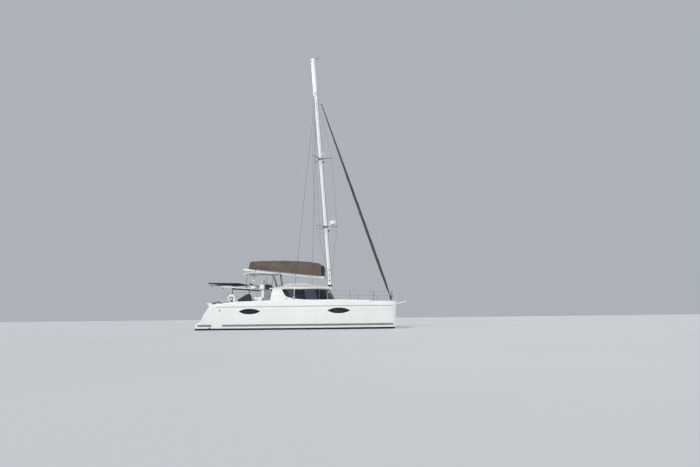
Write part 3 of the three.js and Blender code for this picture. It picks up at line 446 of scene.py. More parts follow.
# Shapes: the vertices and faces of one piece, added bit by bit
class Shape:
    def __init__(self):
        self.vertices, self.faces, self.kinds = [], [], []

    def add(self, vertices, faces, kind=0):
        first = len(self.vertices)
        self.vertices += [tuple(v) for v in vertices]
        self.faces += [tuple(first + i for i in face) for face in faces]
        self.kinds += [kind] * len(faces)
        return self

    def skin(self, rows, kind=0, around=False, capped=False):
        """A surface over rows of equally many points

        Around joins the ends of each row, and capped closes the first row and the last.
        """
        wide = len(rows[0])
        faces = []
        for i in range(len(rows) - 1):
            for j in range(wide if around else wide - 1):
                k = (j + 1) % wide
                faces.append((i * wide + j, i * wide + k, (i + 1) * wide + k, (i + 1) * wide + j))
        if capped:
            faces.append(tuple(range(wide)))
            faces.append(tuple((len(rows) - 1) * wide + j for j in reversed(range(wide))))
        return self.add([p for row in rows for p in row], faces, kind)

    def loft(self, rows, kind=0):
        """A closed solid whose sections are the rows"""
        return self.skin(rows, kind, around=True, capped=True)

    def tube(self, points, radius, sides=10, kind=0, closed=False):
        """A round tube through the points, with one radius or one for each point"""
        stops = [Vector(p) for p in points]
        count = len(stops)
        radii = radius if hasattr(radius, "__len__") else [radius] * count
        rings, across = [], None
        for i, stop in enumerate(stops):
            before = stops[i - 1] if i or closed else stop
            after = stops[(i + 1) % count] if i < count - 1 or closed else stop
            along = (after - before).normalized()
            if across is None:
                across = along.orthogonal().normalized()
            across = (across - along * across.dot(along)).normalized()
            other = along.cross(across)
            rings.append([stop + radii[i] * (cos(a) * across + sin(a) * other) for a in turns(sides)])
        if closed:
            return self.skin([*rings, rings[0]], kind, around=True)
        return self.loft(rings, kind)

    def rod(self, start, end, radius, sides=10, kind=0):
        return self.tube([start, end], radius, sides, kind)

    def block(self, low, high, round_by=0.01, kind=0, segments=3):
        """A box with rounded edges"""
        source = bmesh.new()
        bmesh.ops.create_cube(source, size=1)
        size = [b - a for a, b in zip(low, high)]
        for v in source.verts:
            v.co = Vector([low[i] + size[i] * (v.co[i] + 0.5) for i in range(3)])
        return self.rounded(source, min(round_by, 0.45 * min(size)), kind, segments)

    def slab(self, outline, low, high, round_by=0.01, kind=0, segments=3, flip=None):
        """An outline raised from low to high. Flip maps its points, as (u, v, w), into place"""
        place = flip or (lambda u, v, w: (u, v, w))
        source = bmesh.new()
        bottom = [source.verts.new(place(u, v, low)) for u, v in outline]
        top = [source.verts.new(place(u, v, high)) for u, v in outline]
        source.faces.new(bottom)
        source.faces.new(top[::-1])
        for i in range(len(outline)):
            j = (i + 1) % len(outline)
            source.faces.new((bottom[i], top[i], top[j], bottom[j]))
        bmesh.ops.recalc_face_normals(source, faces=source.faces)
        return self.rounded(source, round_by, kind, segments)

    def rounded(self, source, radius, kind, segments):
        """Adds a bmesh with its sharp edges rounded off"""
        if radius > 0:
            sharp = [e for e in source.edges if e.calc_face_angle(0) > 0.5]
            bmesh.ops.bevel(
                source, geom=sharp, offset=radius, segments=segments, profile=0.5, affect="EDGES",
                clamp_overlap=True,
            )
        source.verts.index_update()
        vertices = [v.co.copy() for v in source.verts]
        self.add(vertices, [[v.index for v in f.verts] for f in source.faces], kind)
        source.free()
        return self

    def lathe(self, profile, centre, axis=(0, 0, 1), sides=28, kind=0):
        """A profile of (radius, height) turned about the axis"""
        up = Vector(axis).normalized()
        across = up.orthogonal().normalized()
        other = up.cross(across)
        rows = []
        for radius, height in profile:
            hub, radius = Vector(centre) + up * height, max(radius, 1e-4)
            rows.append([hub + radius * (cos(a) * across + sin(a) * other) for a in turns(sides)])
        return self.loft(rows, kind)

    def mesh(self, name, materials, angle=38):
        mesh = bpy.data.meshes.new(name)
        mesh.from_pydata(self.vertices, [], self.faces)
        for material in materials:
            mesh.materials.append(LOOKS[material])
        mesh.polygons.foreach_set("material_index", self.kinds)
        tidy = bmesh.new()
        tidy.from_mesh(mesh)
        bmesh.ops.recalc_face_normals(tidy, faces=tidy.faces)
        tidy.to_mesh(mesh)
        tidy.free()
        mesh.shade_smooth()
        mesh.set_sharp_from_angle(angle=radians(angle))
        return mesh

    def piece(self, name, body, materials, slot=None, replaces=(), angle=38):
        materials = [materials] if isinstance(materials, str) else materials
        piece = in_scene(name, self.mesh(name, materials, angle))
        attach(piece, body)
        if replaces:
            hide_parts(*([replaces] if isinstance(replaces, str) else replaces))
        return piece


def apply_modifiers(piece):
    bpy.context.view_layer.update()
    mesh = bpy.data.meshes.new_from_object(piece.evaluated_get(bpy.context.evaluated_depsgraph_get()))
    piece.modifiers.clear()
    piece.data = mesh


def cut_away(piece, tools):
    """Takes the tool shapes out of the piece"""
    for shape in tools:
        mesh = shape.mesh("tool", [])
        for slot in piece.data.materials:
            mesh.materials.append(slot)
        tool = in_scene("tool", mesh)
        knife = piece.modifiers.new("cut", "BOOLEAN")
        knife.operation, knife.solver, knife.object = "DIFFERENCE", "EXACT", tool
        apply_modifiers(piece)
        bpy.data.objects.remove(tool)


def thicken(piece, depth):
    """Gives an open cloth its thickness, inwards"""
    shell = piece.modifiers.new("cloth", "SOLIDIFY")
    shell.thickness, shell.offset = depth, -1
    apply_modifiers(piece)


LOOKS = make_materials()
make_camera()
make_studio()

# Hulls. Columns: place, depth, half breadth at the waterline, outboard, inboard, deck height
HULL_Y = 2.72
HULL = [
    (-6.50, 0.06, 0.48, 0.80, 0.76, 1.590),
    (-5.90, 0.19, 0.56, 0.88, 0.85, 1.600),
    (-5.40, 0.29, 0.60, 0.92, 0.92, 1.620),
    (-4.14, 0.43, 0.65, 0.96, 0.98, 1.725),
    (-3.40, 0.49, 0.665, 0.97, 1.00, 1.800),
    (-1.45, 0.56, 0.68, 0.98, 1.00, 1.818),
    (0.60, 0.56, 0.68, 0.98, 1.00, 1.830),
    (2.90, 0.54, 0.62, 0.93, 0.94, 1.830),
    (4.20, 0.49, 0.50, 0.80, 0.76, 1.795),
    (5.20, 0.40, 0.35, 0.59, 0.52, 1.760),
    (6.00, 0.28, 0.19, 0.34, 0.30, 1.738),
    (6.40, 0.17, 0.08, 0.16, 0.14, 1.728),
    (6.55, 0.06, 0.02, 0.05, 0.045, 1.725),
]
DEPTH, WATER, OUT, INN, DECK = 1, 2, 3, 4, 5
STERN_X, ROUND_STERN = -6.5, 0.6
# The dark bottom band's top sits above the antifouling's own line, so that it also paints the shadow and
# reflection at the water's edge
ANTIFOULING_AND_SHADE_TOP, STRIPE_LOW, STRIPE_HIGH = 0.12, 0.23, 0.36
STRIPE_ENDS, STRIPE_GAP = (-6.15, 6.46), (-5.17, -4.45)
CREASE_LOW, CREASE_HIGH, CREASE_STEP = 1.17, 1.22, 0.01
DECK_EDGE, INNER_LIP, ABOVE_DECK = 0.045, 0.02, 2.2
TUNNEL_ROOF, TUNNEL_STEP = 0.77, 0.52
PLATFORM_Z, STEP_RISE = 0.42, 0.3
STEP_EDGES = [-5.74, -5.56, -5.38, -5.19]
# Side view of what is cut away over the stern's slope
SLOPE = [
    (-6.7, 0.395), (-6.26, 0.395), (-5.96, 0.45), (-5.63, 1.05), (-5.19, 1.64), (-5.19, 2.2), (-6.7, 2.2),
]
BAY_X, BAY_Y, BAY_FLOOR = (-5.08, -4.12), 0.36, 0.25
HATCH_RIM, HATCH_THICK, RUNNING_GAP = 0.045, 0.036, 0.006
TREAD_IN, TREAD_OUT = 0.64, 0.68
SOLE_Z, CABIN_BASE = 0.98, 1.83
ALMONDS, ALMOND_Z, ALMOND_HALF = {"forward": (2.36, 3.79), "aft": (-3.33, -1.93)}, 1.17, 0.168
STRAKE_X, STRAKE_Z, STRAKE_PROUD = (-4.83, 6.40), (1.44, 1.48), 0.008
TOE_RAIL_X = (-4.9, 5.02)
VENT = [(0.055, -0.02), (0.055, 0.01), (0.045, 0.016), (0.03, 0.012)]
EXHAUST = [(0.06, -0.02), (0.06, 0.014), (0.05, 0.035), (0.04, 0.035)]
STERN_LIP = [
    (-5.12, 1.4), (-5.12, 1.715), (-5.3, 1.725), (-5.43, 1.73),
    (-5.455, 1.71), (-5.36, 1.625), (-5.27, 1.5), (-5.24, 1.4),
]


def deck_z(x):
    return smooth(HULL, x, DECK)


def edge_y(x, inset):
    """How far out a line runs that keeps this far in from the deck's edge"""
    return HULL_Y + smooth(HULL, x, OUT) - inset


def rake(x, z):
    return 0.069 * z * ease(5.2, 6.2, x)


def outer_y(x, z):
    """Half breadth of the outboard topside at a height above the water"""
    share = min(max(z / (deck_z(x) - 0.03), 0), 1)
    water = smooth(HULL, x, WATER)
    flare = (smooth(HULL, x, OUT) - water) * (1 - (1 - share) ** 2)
    return water + flare + CREASE_STEP * (ease(CREASE_LOW, CREASE_HIGH, z) - share)


def hull_ring(x):
    depth, water, inn, deck = (smooth(HULL, x, column) for column in (DEPTH, WATER, INN, DECK))
    tuck = min((x - STERN_X) / ROUND_STERN, 1)
    narrow = (1 - (1 - tuck) ** 2.3) ** (1 / 2.3)
    edge, lip = DECK_EDGE, INNER_LIP
    half = [(water * sin(radians(a)), -depth * cos(radians(a))) for a in range(0, 90, 10)]
    topside = [0, ANTIFOULING_AND_SHADE_TOP, STRIPE_LOW, STRIPE_HIGH, 0.6, 0.85, 1.05, CREASE_LOW, CREASE_HIGH, 1.35]
    ring = half + [(outer_y(x, z), z) for z in [*topside, deck - edge]]
    out = outer_y(x, deck - edge)
    ring += [(out - edge + edge * cos(a), deck - edge + edge * sin(a)) for a in steps(0.35, pi / 2, 4)]
    ring += [(mix(out - edge, lip - inn, t), deck) for t in (0.25, 0.5, 0.75)]
    ring += [(lip - inn - lip * sin(a), deck - lip + lip * cos(a)) for a in steps(0, pi / 2, 4)]
    ring += [(-inn, z) for z in (1.35, 1.05, TUNNEL_ROOF)]
    tunnel = [TUNNEL_STEP, STRIPE_HIGH, STRIPE_LOW, ANTIFOULING_AND_SHADE_TOP, 0]
    ring += [(-water * mix(1, 1.05, z / TUNNEL_STEP), z) for z in tunnel]
    ring += [(-y, z) for y, z in reversed(half[1:])]
    return [(x + rake(x, z), narrow * y, z) for y, z in ring]


def place_on_hull(points, side):
    return [(x, side * (HULL_Y + y), z) for x, y, z in points]


def side_tool(outline, y0, y1):
    """A straight bar across the boat with the given side view"""
    return Shape().slab(outline, y0, y1, 0, flip=sideways)


def deck_strip(x0, x1, below, above):
    """A side view of what lies from below the deck to above it"""
    return [(x, deck_z(x) + rise) for x, rise in oblong(x0, x1, below, above)]


def lay_on_deck(shape):
    shape.vertices = [(x, y, z + deck_z(x)) for x, y, z in shape.vertices]


def step_line():
    """A side view of the room over the stern steps"""
    line = [(-6.7, ABOVE_DECK), (-6.7, PLATFORM_Z)]
    for i, x in enumerate(STEP_EDGES):
        line += [(x, PLATFORM_Z + i * STEP_RISE), (x, PLATFORM_Z + (i + 1) * STEP_RISE)]
    return [*line[:-1], (STEP_EDGES[-1], ABOVE_DECK)]


def make_hull(name, side):
    stern = [STERN_X + ROUND_STERN * (1 - cos(radians(a))) for a in (4, 10, 18, 28, 38, 48, 58, 68, 78, 90)]
    places = [*stern, *steps(-5.75, 5.6, 72), *steps(5.7, 6.35, 8), 6.4, 6.45, 6.49, 6.52, 6.54, 6.55]
    shape = Shape().loft([place_on_hull(hull_ring(x), side) for x in places])
    paints = ["gelcoat", "antifouling", "stripe"]
    hull = shape.piece(f"hull_{name}_shell", "boat", paints, "gelcoat", f"hull_{name}")
    middle, rim = side * HULL_Y, HATCH_RIM + RUNNING_GAP
    lid_seat = deck_strip(BAY_X[0] - rim, BAY_X[1] + rim, -HATCH_THICK - RUNNING_GAP, 0.4)
    cut_away(hull, [
        side_tool(SLOPE, middle - 1.2, middle + 1.2),
        side_tool(step_line(), *sorted((middle - side * TREAD_IN, middle + side * TREAD_OUT))),
        Shape().block((BAY_X[0], middle - BAY_Y, BAY_FLOOR), (BAY_X[1], middle + BAY_Y, ABOVE_DECK), 0),
        side_tool(lid_seat, middle - BAY_Y - rim, middle + BAY_Y + rim),
    ])
    paint_lines(hull)
    paint_bands(hull)
    hull.data.shade_smooth()
    hull.data.set_sharp_from_angle(angle=radians(32))


def paint_lines(hull):
    """Cuts the skin along the edges of its painted bands"""
    tidy = bmesh.new()
    tidy.from_mesh(hull.data)
    cuts = [((0, 0, z), UP) for z in (ANTIFOULING_AND_SHADE_TOP, STRIPE_LOW, STRIPE_HIGH)]
    cuts += [((x, 0, 0), AHEAD) for x in (*STRIPE_ENDS, *STRIPE_GAP)]
    for place, normal in cuts:
        everything = [*tidy.verts, *tidy.edges, *tidy.faces]
        bmesh.ops.bisect_plane(tidy, geom=everything, plane_co=place, plane_no=normal, dist=0.0005)
    tidy.to_mesh(hull.data)
    tidy.free()


def paint_bands(hull):
    """Gives each face its paint. The dark bottom band reaches above the antifouling's own line, as painted
    shadow and reflection at the water's edge. The stripe leaves a bare gap on the outboard side
    """
    for face in hull.data.polygons:
        place = face.center
        bare = STRIPE_GAP[0] < place.x < STRIPE_GAP[1] and abs(place.y) > HULL_Y
        along = STRIPE_ENDS[0] < place.x < STRIPE_ENDS[1] and not bare
        striped = along and abs(face.normal.z) < 0.6 and STRIPE_LOW < place.z < STRIPE_HIGH
        face.material_index = 1 if place.z < ANTIFOULING_AND_SHADE_TOP else 2 if striped else 0


def make_almonds(name, side):
    """Pointed oval windows that follow the topside"""
    for place, (x0, x1) in ALMONDS.items():
        rows = []
        for share in steps(-1, 1, 33):
            x = mix(x0, x1, (share + 1) / 2)
            half = ALMOND_HALF * (1 - abs(share) ** 2.6) ** 1.1 + 0.004
            levels = [(t, ALMOND_Z + half * t) for t in steps(-1, 1, 9)]
            front = [(x, outer_y(x, z) + 0.005 * (1 - abs(t) ** 6), z) for t, z in levels]
            back = [(x, outer_y(x, z) - 0.02, z) for _, z in reversed(levels)]
            rows.append(place_on_hull(front + back, side))
        Shape().loft(rows).piece(f"hull_window_{place}_{name}", "boat", "glass", "window_glass")


def make_rub_strake(name, side):
    """A moulding along the outboard topside"""
    (aft, fore), (low, high) = STRAKE_X, STRAKE_Z
    rows = []
    for x in steps(aft, fore, 90):
        proud = STRAKE_PROUD * min(1, (x - aft) / 0.04 + 0.2, (fore - x) / 0.04 + 0.2)
        ring = [(0, -0.02), (0, 0.5 * proud), (0.3, proud), (0.7, proud), (1, 0.5 * proud), (1, -0.02)]
        spots = [(mix(low, high, share), out) for share, out in ring]
        rows.append(place_on_hull([(x + rake(x, z), outer_y(x, z) + out, z) for z, out in spots], side))
    Shape().loft(rows).piece(f"rub_strake_{name}", "boat", "strake")


def make_toe_rail(name, side):
    aft, fore = TOE_RAIL_X
    rows = []
    for x in steps(aft, fore, 90):
        rise = mix(0.008, 0.035, ease(-3.4, -0.8, x)) * min(1, (x - aft) / 0.5, (fore - x) / 0.06 + 0.1)
        edge, base = outer_y(x, deck_z(x) - DECK_EDGE), deck_z(x) - 0.006
        ring = [(0.005, -0.03), (0.012, 0.8 * rise), (0.03, rise), (0.07, rise), (0.1, 0)]
        rows.append(place_on_hull([(x, edge - inset, base + up) for inset, up in ring], side))
    Shape().loft(rows).piece(f"toe_rail_{name}", "boat", "gelcoat", "gelcoat")


def cleat(shape, x, y, z, length=0.26, kind=0):
    """A horn cleat on two feet"""
    horn = ((-0.5, 0.05), (-0.2, 0.055), (0.2, 0.055), (0.5, 0.05))
    shape.tube(bent([(x + share * length, y, z + rise) for share, rise in horn], 0.05), 0.012, 8, kind)
    for foot in (-0.05, 0.05):
        shape.rod((x + foot, y, z - 0.005), (x + foot, y, z + 0.055), 0.013, 8, kind)


def deck_hatch(shape, x, y, z, half, tilt=0.0):
    """A framed hatch: kind 0 is the frame and kind 1 the pane"""
    inner = half - 0.05
    rim = Shape().slab(oblong(-half, half, -half, half), 0, 0.032, 0.02)
    pane = Shape().slab(oblong(-inner, inner, -inner, inner), 0.02, 0.04, 0.012)
    turn = Matrix.Translation((x, y, z)) @ Matrix.Rotation(tilt, 4, "Y")
    for kind, part in enumerate((rim, pane)):
        shape.add([turn @ Vector(v) for v in part.vertices], part.faces, kind)


def make_hull_fittings(name, side):
    """The vent and exhaust of the engine, and the lip where the deck's edge overhangs the steps"""
    for part, x, z, profile, look, slot in (
        ("engine_vent", -4.58, 1.26, VENT, "bronze", "bronze"),
        ("exhaust", -5.31, 0.125, EXHAUST, "rubber", None),
    ):
        spot = (x, side * (HULL_Y + outer_y(x, z)), z)
        Shape().lathe(profile, spot, (0, side, 0)).piece(f"{part}_{name}", "boat", look, slot)
    edge = HULL_Y + outer_y(-5.3, 1.6)
    ends = sorted((side * (edge - 0.2), side * (edge - 0.012)))
    lip = Shape().slab(STERN_LIP, *ends, 0.012, flip=sideways)
    lip.piece(f"stern_lip_{name}", "boat", "gelcoat", "gelcoat")


def make_deck_fittings(name, side):
    cleats, hatches = Shape(), Shape()
    for x in (5.7, 0.9, -4.75):
        cleat(cleats, x, side * edge_y(x, 0.16), deck_z(x))
    cleats.piece(f"cleats_{name}", "boat", "steel", "stainless")
    for x, y, half in ((4.62, 0.02, 0.22), (-3.1, -0.25, 0.2)):
        deck_hatch(hatches, x, side * (HULL_Y + y), deck_z(x) - 0.004, half)
    hatches.piece(f"deck_hatches_{name}", "boat", ["anodised", "glass"], "anodised")


def make_deck_panels(name, side):
    """Thin non-slip panels, two on the hull's foredeck and one along the side deck"""
    outlines = []
    for x0, x1, y0, y1 in ((2.65, 4.3, -0.5, 0.52), (4.95, 5.75, -0.16, 0.2)):
        corners = [(x0, y0), (x1, y0 + 0.12), (x1, y1 - 0.16), (x0, y1)]
        outlines.append([(x, HULL_Y + y) for x, y in corners])
    places = steps(-1.4, 2.5, 8)
    inner = [(x, mix(2.53, 2.42, ease(0.6, 2.5, x))) for x in reversed(places)]
    outlines.append([(x, edge_y(x, 0.16)) for x in places] + inner)
    panels = Shape()
    for outline in outlines:
        panels.slab(mirrored(outline, side), 0, 0.004, 0.002, segments=1)
    lay_on_deck(panels)
    panels.piece(f"deck_panels_{name}", "boat", "deck", "deck")


def make_treads(name, side):
    treads = Shape()
    behind = [-6.4, *(x + 0.03 for x in STEP_EDGES)]
    for i, x in enumerate(STEP_EDGES):
        z = PLATFORM_Z + i * STEP_RISE
        wide, taper = (0.42, 0.12) if i == 0 else (0.56, 0)
        corners = [(x - 0.03, -wide), (x - 0.03, wide), (behind[i], wide - taper), (behind[i], taper - wide)]
        outline = [(px, side * HULL_Y + py) for px, py in corners]
        treads.slab(outline, z, z + 0.005, 0.002, segments=1)
    treads.piece(f"stern_treads_{name}", "boat", "deck", "deck")


def make_ladder(name, side):
    """The boarding ladder, folded on the swim platform"""
    ladder = Shape()
    ends = side * HULL_Y - 0.17, side * HULL_Y + 0.17
    for y in ends:
        rail = ((-6.1, 0.03), (-6.36, 0.035), (-6.36, 0.06), (-6.0, 0.065))
        ladder.tube(bent([(x, y, PLATFORM_Z + rise) for x, rise in rail], 0.03), 0.0125, 8)
    for x in (-6.05, -6.15, -6.25, -6.34):
        ladder.tube([(x, y, PLATFORM_Z + 0.062) for y in ends], 0.011, 8)
    ladder.piece(f"boarding_ladder_{name}", "boat", "steel", "stainless")


for hull_name, hull_side in SIDES.items():
    make_hull(hull_name, hull_side)
    make_almonds(hull_name, hull_side)
    make_rub_strake(hull_name, hull_side)
    make_toe_rail(hull_name, hull_side)
    make_hull_fittings(hull_name, hull_side)
    make_deck_fittings(hull_name, hull_side)
    make_deck_panels(hull_name, hull_side)
    make_treads(hull_name, hull_side)
    make_ladder(hull_name, hull_side)

# Coachroof. Columns: place, half breadth at the deck, and how far the wall leans in by its top
WALL_TOP, WALL_THICK = 2.655, 0.04
CABIN = [
    (-1.64, 2.42, 0.150), (-0.4, 2.415, 0.155), (0.60, 2.40, 0.165), (1.35, 2.22, 0.30),
    (1.90, 1.78, 0.39), (2.27, 1.15, 0.42), (2.44, 0.50, 0.43), (2.48, 0.0, 0.43),
]
AFT_LEAN = 0.15
# Columns: place, height of the foot of the window band
BAND_LOW = [(-0.63, 2.19), (-0.39, 2.08), (0.33, 1.95), (1.5, 1.90), (3.4, 1.90)]
BAND_TOP, BAND_AFT = 2.62, (-0.63, -0.90)
# Spans along the glass given the paler blind look, which also paints the reflections on the glass
BLINDS_AND_REFLECTIONS = [(-0.42, -0.02), (0.72, 1.36)]
MULLIONS, MULLION_HALF, MULLION_PROUD = ((0.60, 0.72), (1.0, 1.0)), 0.0225, 0.012


def cabin_curves():
    """The foot of the wall and its top, from aft on port round the front to starboard"""
    half = [Vector((x, y, lean)) for x, y, lean in CABIN]
    whole = half + [Vector((x, -y, lean)) for x, y, lean in CABIN[-2::-1]]
    curve = spline(whole, 10)
    foot, top = [], []
    for i, point in enumerate(curve):
        before, after = curve[max(i - 1, 0)], curve[min(i + 1, len(curve) - 1)]
        along = Vector((after.x - before.x, after.y - before.y)).normalized()
        inward = Vector((along.y, -along.x))
        shift = AFT_LEAN * (1 - ease(CABIN[0][0], 0.6, point.x))
        foot.append(Vector((point.x, point.y)))
        top.append(Vector((point.x + inward.x * point.z + shift, point.y + inward.y * point.z)))
    return foot, top


def wall_point(curves, i, z, out=0.0):
    """A point on the wall at column i, which may be a fraction, moved outwards by out"""
    foot, top = curves
    k = min(int(i), len(foot) - 2)
    a, b = foot[k].lerp(foot[k + 1], i - k), top[k].lerp(top[k + 1], i - k)
    along = (foot[k + 1] - foot[k]).normalized()
    outward = Vector((-along.y, along.x))
    share = (z - CABIN_BASE) / (WALL_TOP - CABIN_BASE)
    crown = 0.012 * sin(pi * min(max(share, 0), 1))
    spot = a.lerp(b, share) + outward * (out + crown)
    return Vector((spot.x, spot.y, z))


def column_at(curves, x, z):
    """The port column at which the wall passes x at height z"""
    low, high = 0.0, (len(curves[0]) - 1) / 2
    for _ in range(30):
        middle = (low + high) / 2
        low, high = (middle, high) if wall_point(curves, middle, z).x < x else (low, middle)
    return low


def make_cabin_walls(curves):
    heights = [CABIN_BASE - 0.006, *steps(CABIN_BASE + 0.1, WALL_TOP, 7)]
    rows = []
    for i in range(len(curves[0])):
        outer = [wall_point(curves, i, z) for z in heights]
        inner = [wall_point(curves, i, z, -WALL_THICK) for z in reversed(heights)]
        rows.append(outer + inner)
    walls = Shape().loft(rows)
    walls.piece("coachroof_shell", "boat", "gelcoat", "gelcoat", "coachroof_walls")


def glass_row(curves, share):
    """The columns of the band's foot and top, a share of the way to the middle, and its foot's height"""
    last, z = (len(curves[0]) - 1) / 2, BAND_LOW[0][1]
    low = mix(column_at(curves, BAND_AFT[0], z), last, share)
    high = mix(column_at(curves, BAND_AFT[1], BAND_TOP), last, share)
    for _ in range(4):
        z = smooth(BAND_LOW, wall_point(curves, low, z).x, 1)
    return low, high, z


def make_windows(curves):
    rows = []
    for share in [0, 0.004, *steps(0.015, 1, 60)]:
        low, high, z_low = glass_row(curves, share)
        inset = 0.05 * (1 - min(share / 0.015, 1))
        row = []
        for t in [0, 0.01, *steps(0.05, 0.95, 7), 0.99, 1]:
            rounded = mix(t, 0.5, inset)
            out = -0.01 if t in (0, 1) or share == 0 else 0.006
            row.append(wall_point(curves, mix(low, high, rounded), mix(z_low, BAND_TOP, rounded), out))
        rows.append(row)
    other_side = [[Vector((p.x, -p.y, p.z)) for p in row] for row in reversed(rows[:-1])]
    band = Shape().skin(rows + other_side)
    windows = band.piece("wraparound_glass", "boat", ["glass", "blind_and_reflection"], "window_glass", "saloon_windows", 50)
    show_blinds_and_reflections(windows.data.polygons, len(rows[0]) - 1)


def show_blinds_and_reflections(faces, wide):
    """Gives the paler blind look, whose lighter tone also paints the reflections on the glass, to whole
    columns of the glass, each as many faces high as wide says
    """
    for face in faces:
        column, up = divmod(face.index, wide)
        x = faces[column * wide + wide // 2].center.x
        behind = any(low < x < high for low, high in BLINDS_AND_REFLECTIONS)
        face.material_index = 1 if behind and 1 < up < wide - 2 else 0


def make_mullions(curves):
    posts = Shape()
    for low_share, high_share in MULLIONS:
        low, _, z_low = glass_row(curves, low_share)
        _, high, _ = glass_row(curves, high_share)
        for side in SIDES.values():
            rows = []
            for t in steps(0, 1, 8):
                z, middle = mix(z_low - 0.01, BAND_TOP + 0.01, t), mix(low, high, t)
                column = int(middle)
                step = MULLION_HALF / (curves[0][column + 1] - curves[0][column]).length
                ring = [(-1, -0.01), (-1, 0.6 * MULLION_PROUD), (-0.6, MULLION_PROUD)]
                ring += [(-d, out) for d, out in reversed(ring)]
                spots = [wall_point(curves, middle + step * d, z, out) for d, out in ring]
                rows.append([(p.x, side * p.y, p.z) for p in spots])
            posts.loft(rows)
    posts.piece("window_mullions", "boat", "gelcoat", "gelcoat")


# Roof. Columns: place, half breadth, height of the crown
ROOF = [
    (-1.70, 2.33, 2.800), (-1.34, 2.33, 2.850), (-0.78, 2.33, 3.112), (-0.45, 2.33, 3.124),
    (0.54, 2.28, 3.115), (0.90, 2.20, 3.030), (1.25, 2.025, 2.933), (1.70, 1.62, 2.874),
    (2.00, 1.12, 2.855), (2.14, 0.62, 2.820), (2.20, 0.20, 2.780), (2.21, 0.02, 2.760),
]
ROOF_LOW, ROOF_EDGE, ROOF_SKIN = WALL_TOP + 0.0004, 2.722, 0.06
WINCH = [
    (0.085, 0), (0.09, 0.03), (0.07, 0.045), (0.055, 0.09), (0.058, 0.13), (0.075, 0.15),
    (0.078, 0.165), (0.045, 0.175), (0.02, 0.18),
]
ROOF_CROWN = [(0, 1), (0.2, 0.98), (0.45, 0.86), (0.62, 0.62), (0.8, 0.3), (0.93, 0.09), (1, 0)]


def roof_z(x, y):
    half, crown = smooth(ROOF, x, 1), smooth(ROOF, x, 2)
    return ROOF_EDGE + (crown - ROOF_EDGE) * smooth(ROOF_CROWN, min(abs(y) / max(half, 0.02), 1), 1)


def make_roof():
    places = [*steps(-1.70, 1.9, 60), *steps(1.93, 2.12, 10), 2.14, 2.16, 2.175, 2.19, 2.2, 2.207]
    shares = [-1, -0.985, -0.96, *steps(-0.93, 0.93, 33), 0.96, 0.985, 1]
    rows = []
    for x in places:
        half = smooth(ROOF, x, 1)
        top = [(x, y, roof_z(x, y)) for y in (share * half for share in shares)]
        top[0], top[-1] = ((x, y, z - 0.02) for x, y, z in (top[0], top[-1]))
        inner = max(half - 0.165, 0.3 * half)
        hollow = 1 if -1.6 < x < 1.9 else 0
        under = []
        for share in (1, 0.98, 0.9, 0.6, 0.3, 0, -0.3, -0.6, -0.9, -0.98, -1):
            y = share * inner
            lifted = max(ROOF_LOW, roof_z(x, y / max(inner, 1e-3) * half * 0.97) - ROOF_SKIN)
            under.append((x, y, mix(ROOF_LOW, lifted, hollow if abs(share) < 0.99 else 0)))
        rim = [(x, half, ROOF_EDGE - 0.04), (x, half - 0.012 * min(half, 1), ROOF_LOW)]
        rim_back = [(x, -y, z) for _, y, z in reversed(rim)]
        rows.append(top + rim + under + rim_back)
    roof = Shape().loft(rows)
    roof.piece("roof_moulding", "boat", "gelcoat", "gelcoat", "coachroof_roof")


def make_roof_panels():
    panels = Shape()
    for side in SIDES.values():
        rows = []
        for x in steps(-0.5, 1.15, 20):
            wide = min(1, (x + 0.5) / 0.12 + 0.3, (1.15 - x) / 0.12 + 0.3)
            ys = steps(0.62, 0.62 + 0.95 * wide * smooth(ROOF, x, 1) / 2.33, 8)
            top = [(x, side * y, roof_z(x, y) + 0.005) for y in ys]
            rows.append(top + [(x, y, z - 0.015) for x, y, z in reversed(top)])
        panels.loft(rows)
    panels.piece("roof_panels", "boat", "deck", "deck")


def make_roof_hatches():
    hatches = Shape()
    for x, half in ((0.62, 0.25), (-0.35, 0.25), (1.22, 0.2)):
        tilt = atan2(roof_z(x - 0.2, 0) - roof_z(x + 0.2, 0), 0.4)
        deck_hatch(hatches, x, 0, roof_z(x, 0) - 0.01, half, tilt)
    hatches.piece("roof_hatches", "boat", ["anodised", "glass"], "anodised")


def make_roof_rails():
    rails = Shape()
    for side in SIDES.values():
        line = []
        for x in steps(-0.65, 1.1, 14):
            y = 0.9 * smooth(ROOF, x, 1)
            line.append(Vector((x, side * y, roof_z(x, y) + 0.075)))
        feet = line[0] + Vector((-0.06, 0, -0.08)), line[-1] + Vector((0.06, 0, -0.1))
        rails.tube(bent([feet[0], *line, feet[1]], 0.05), 0.0125, 10)
        for spot in line[3:-2:4]:
            rails.rod(spot, spot - 0.085 * UP, 0.009, 8)
    rails.piece("roof_handrails", "boat", "steel", "stainless")


def make_roof_lines():
    """The control lines from the mast to the winches, and the winches with their clutches"""
    lines = Shape()
    for k, y in enumerate((-0.36, -0.30, -0.24, 0.24, 0.30)):
        route = []
        for x in steps(1.85, -1.25, 26):
            route.append((x, y * (1 + 0.25 * ease(1.6, -1.2, x)), roof_z(x, y) + 0.012))
        lines.tube(route, 0.007, 6, k % 2)
    lines.piece("roof_lines", "boat", ["rope", "dark_rope"])
    gear = Shape()
    for y in (-0.42, 0.36):
        z = roof_z(-1.1, y)
        gear.block((-1.18, y - 0.12, z - 0.03), (-0.98, y + 0.14, z + 0.05), 0.015)
        gear.lathe(WINCH, (-1.42, y, roof_z(-1.42, y) - 0.01), kind=1)
    gear.piece("roof_winches", "boat", ["rubber", "steel"], "stainless")


# Bulkhead, door and cockpit
BULKHEAD_X = (-1.47, -1.43)
AFT_PANES, PANE_LOW, PANE_HIGH = [(-1.5, -0.52), (0.76, 1.52)], 1.75, 2.45
STILE, DOOR_FOOT, LAP = 0.09, 0.42, 0.002
TABLE_LEG = [
    (0.19, SOLE_Z), (0.19, SOLE_Z + 0.015), (0.16, SOLE_Z + 0.028), (0.07, SOLE_Z + 0.06),
    (0.06, SOLE_Z + 0.1), (0.06, 1.62), (0.12, 1.69),
]


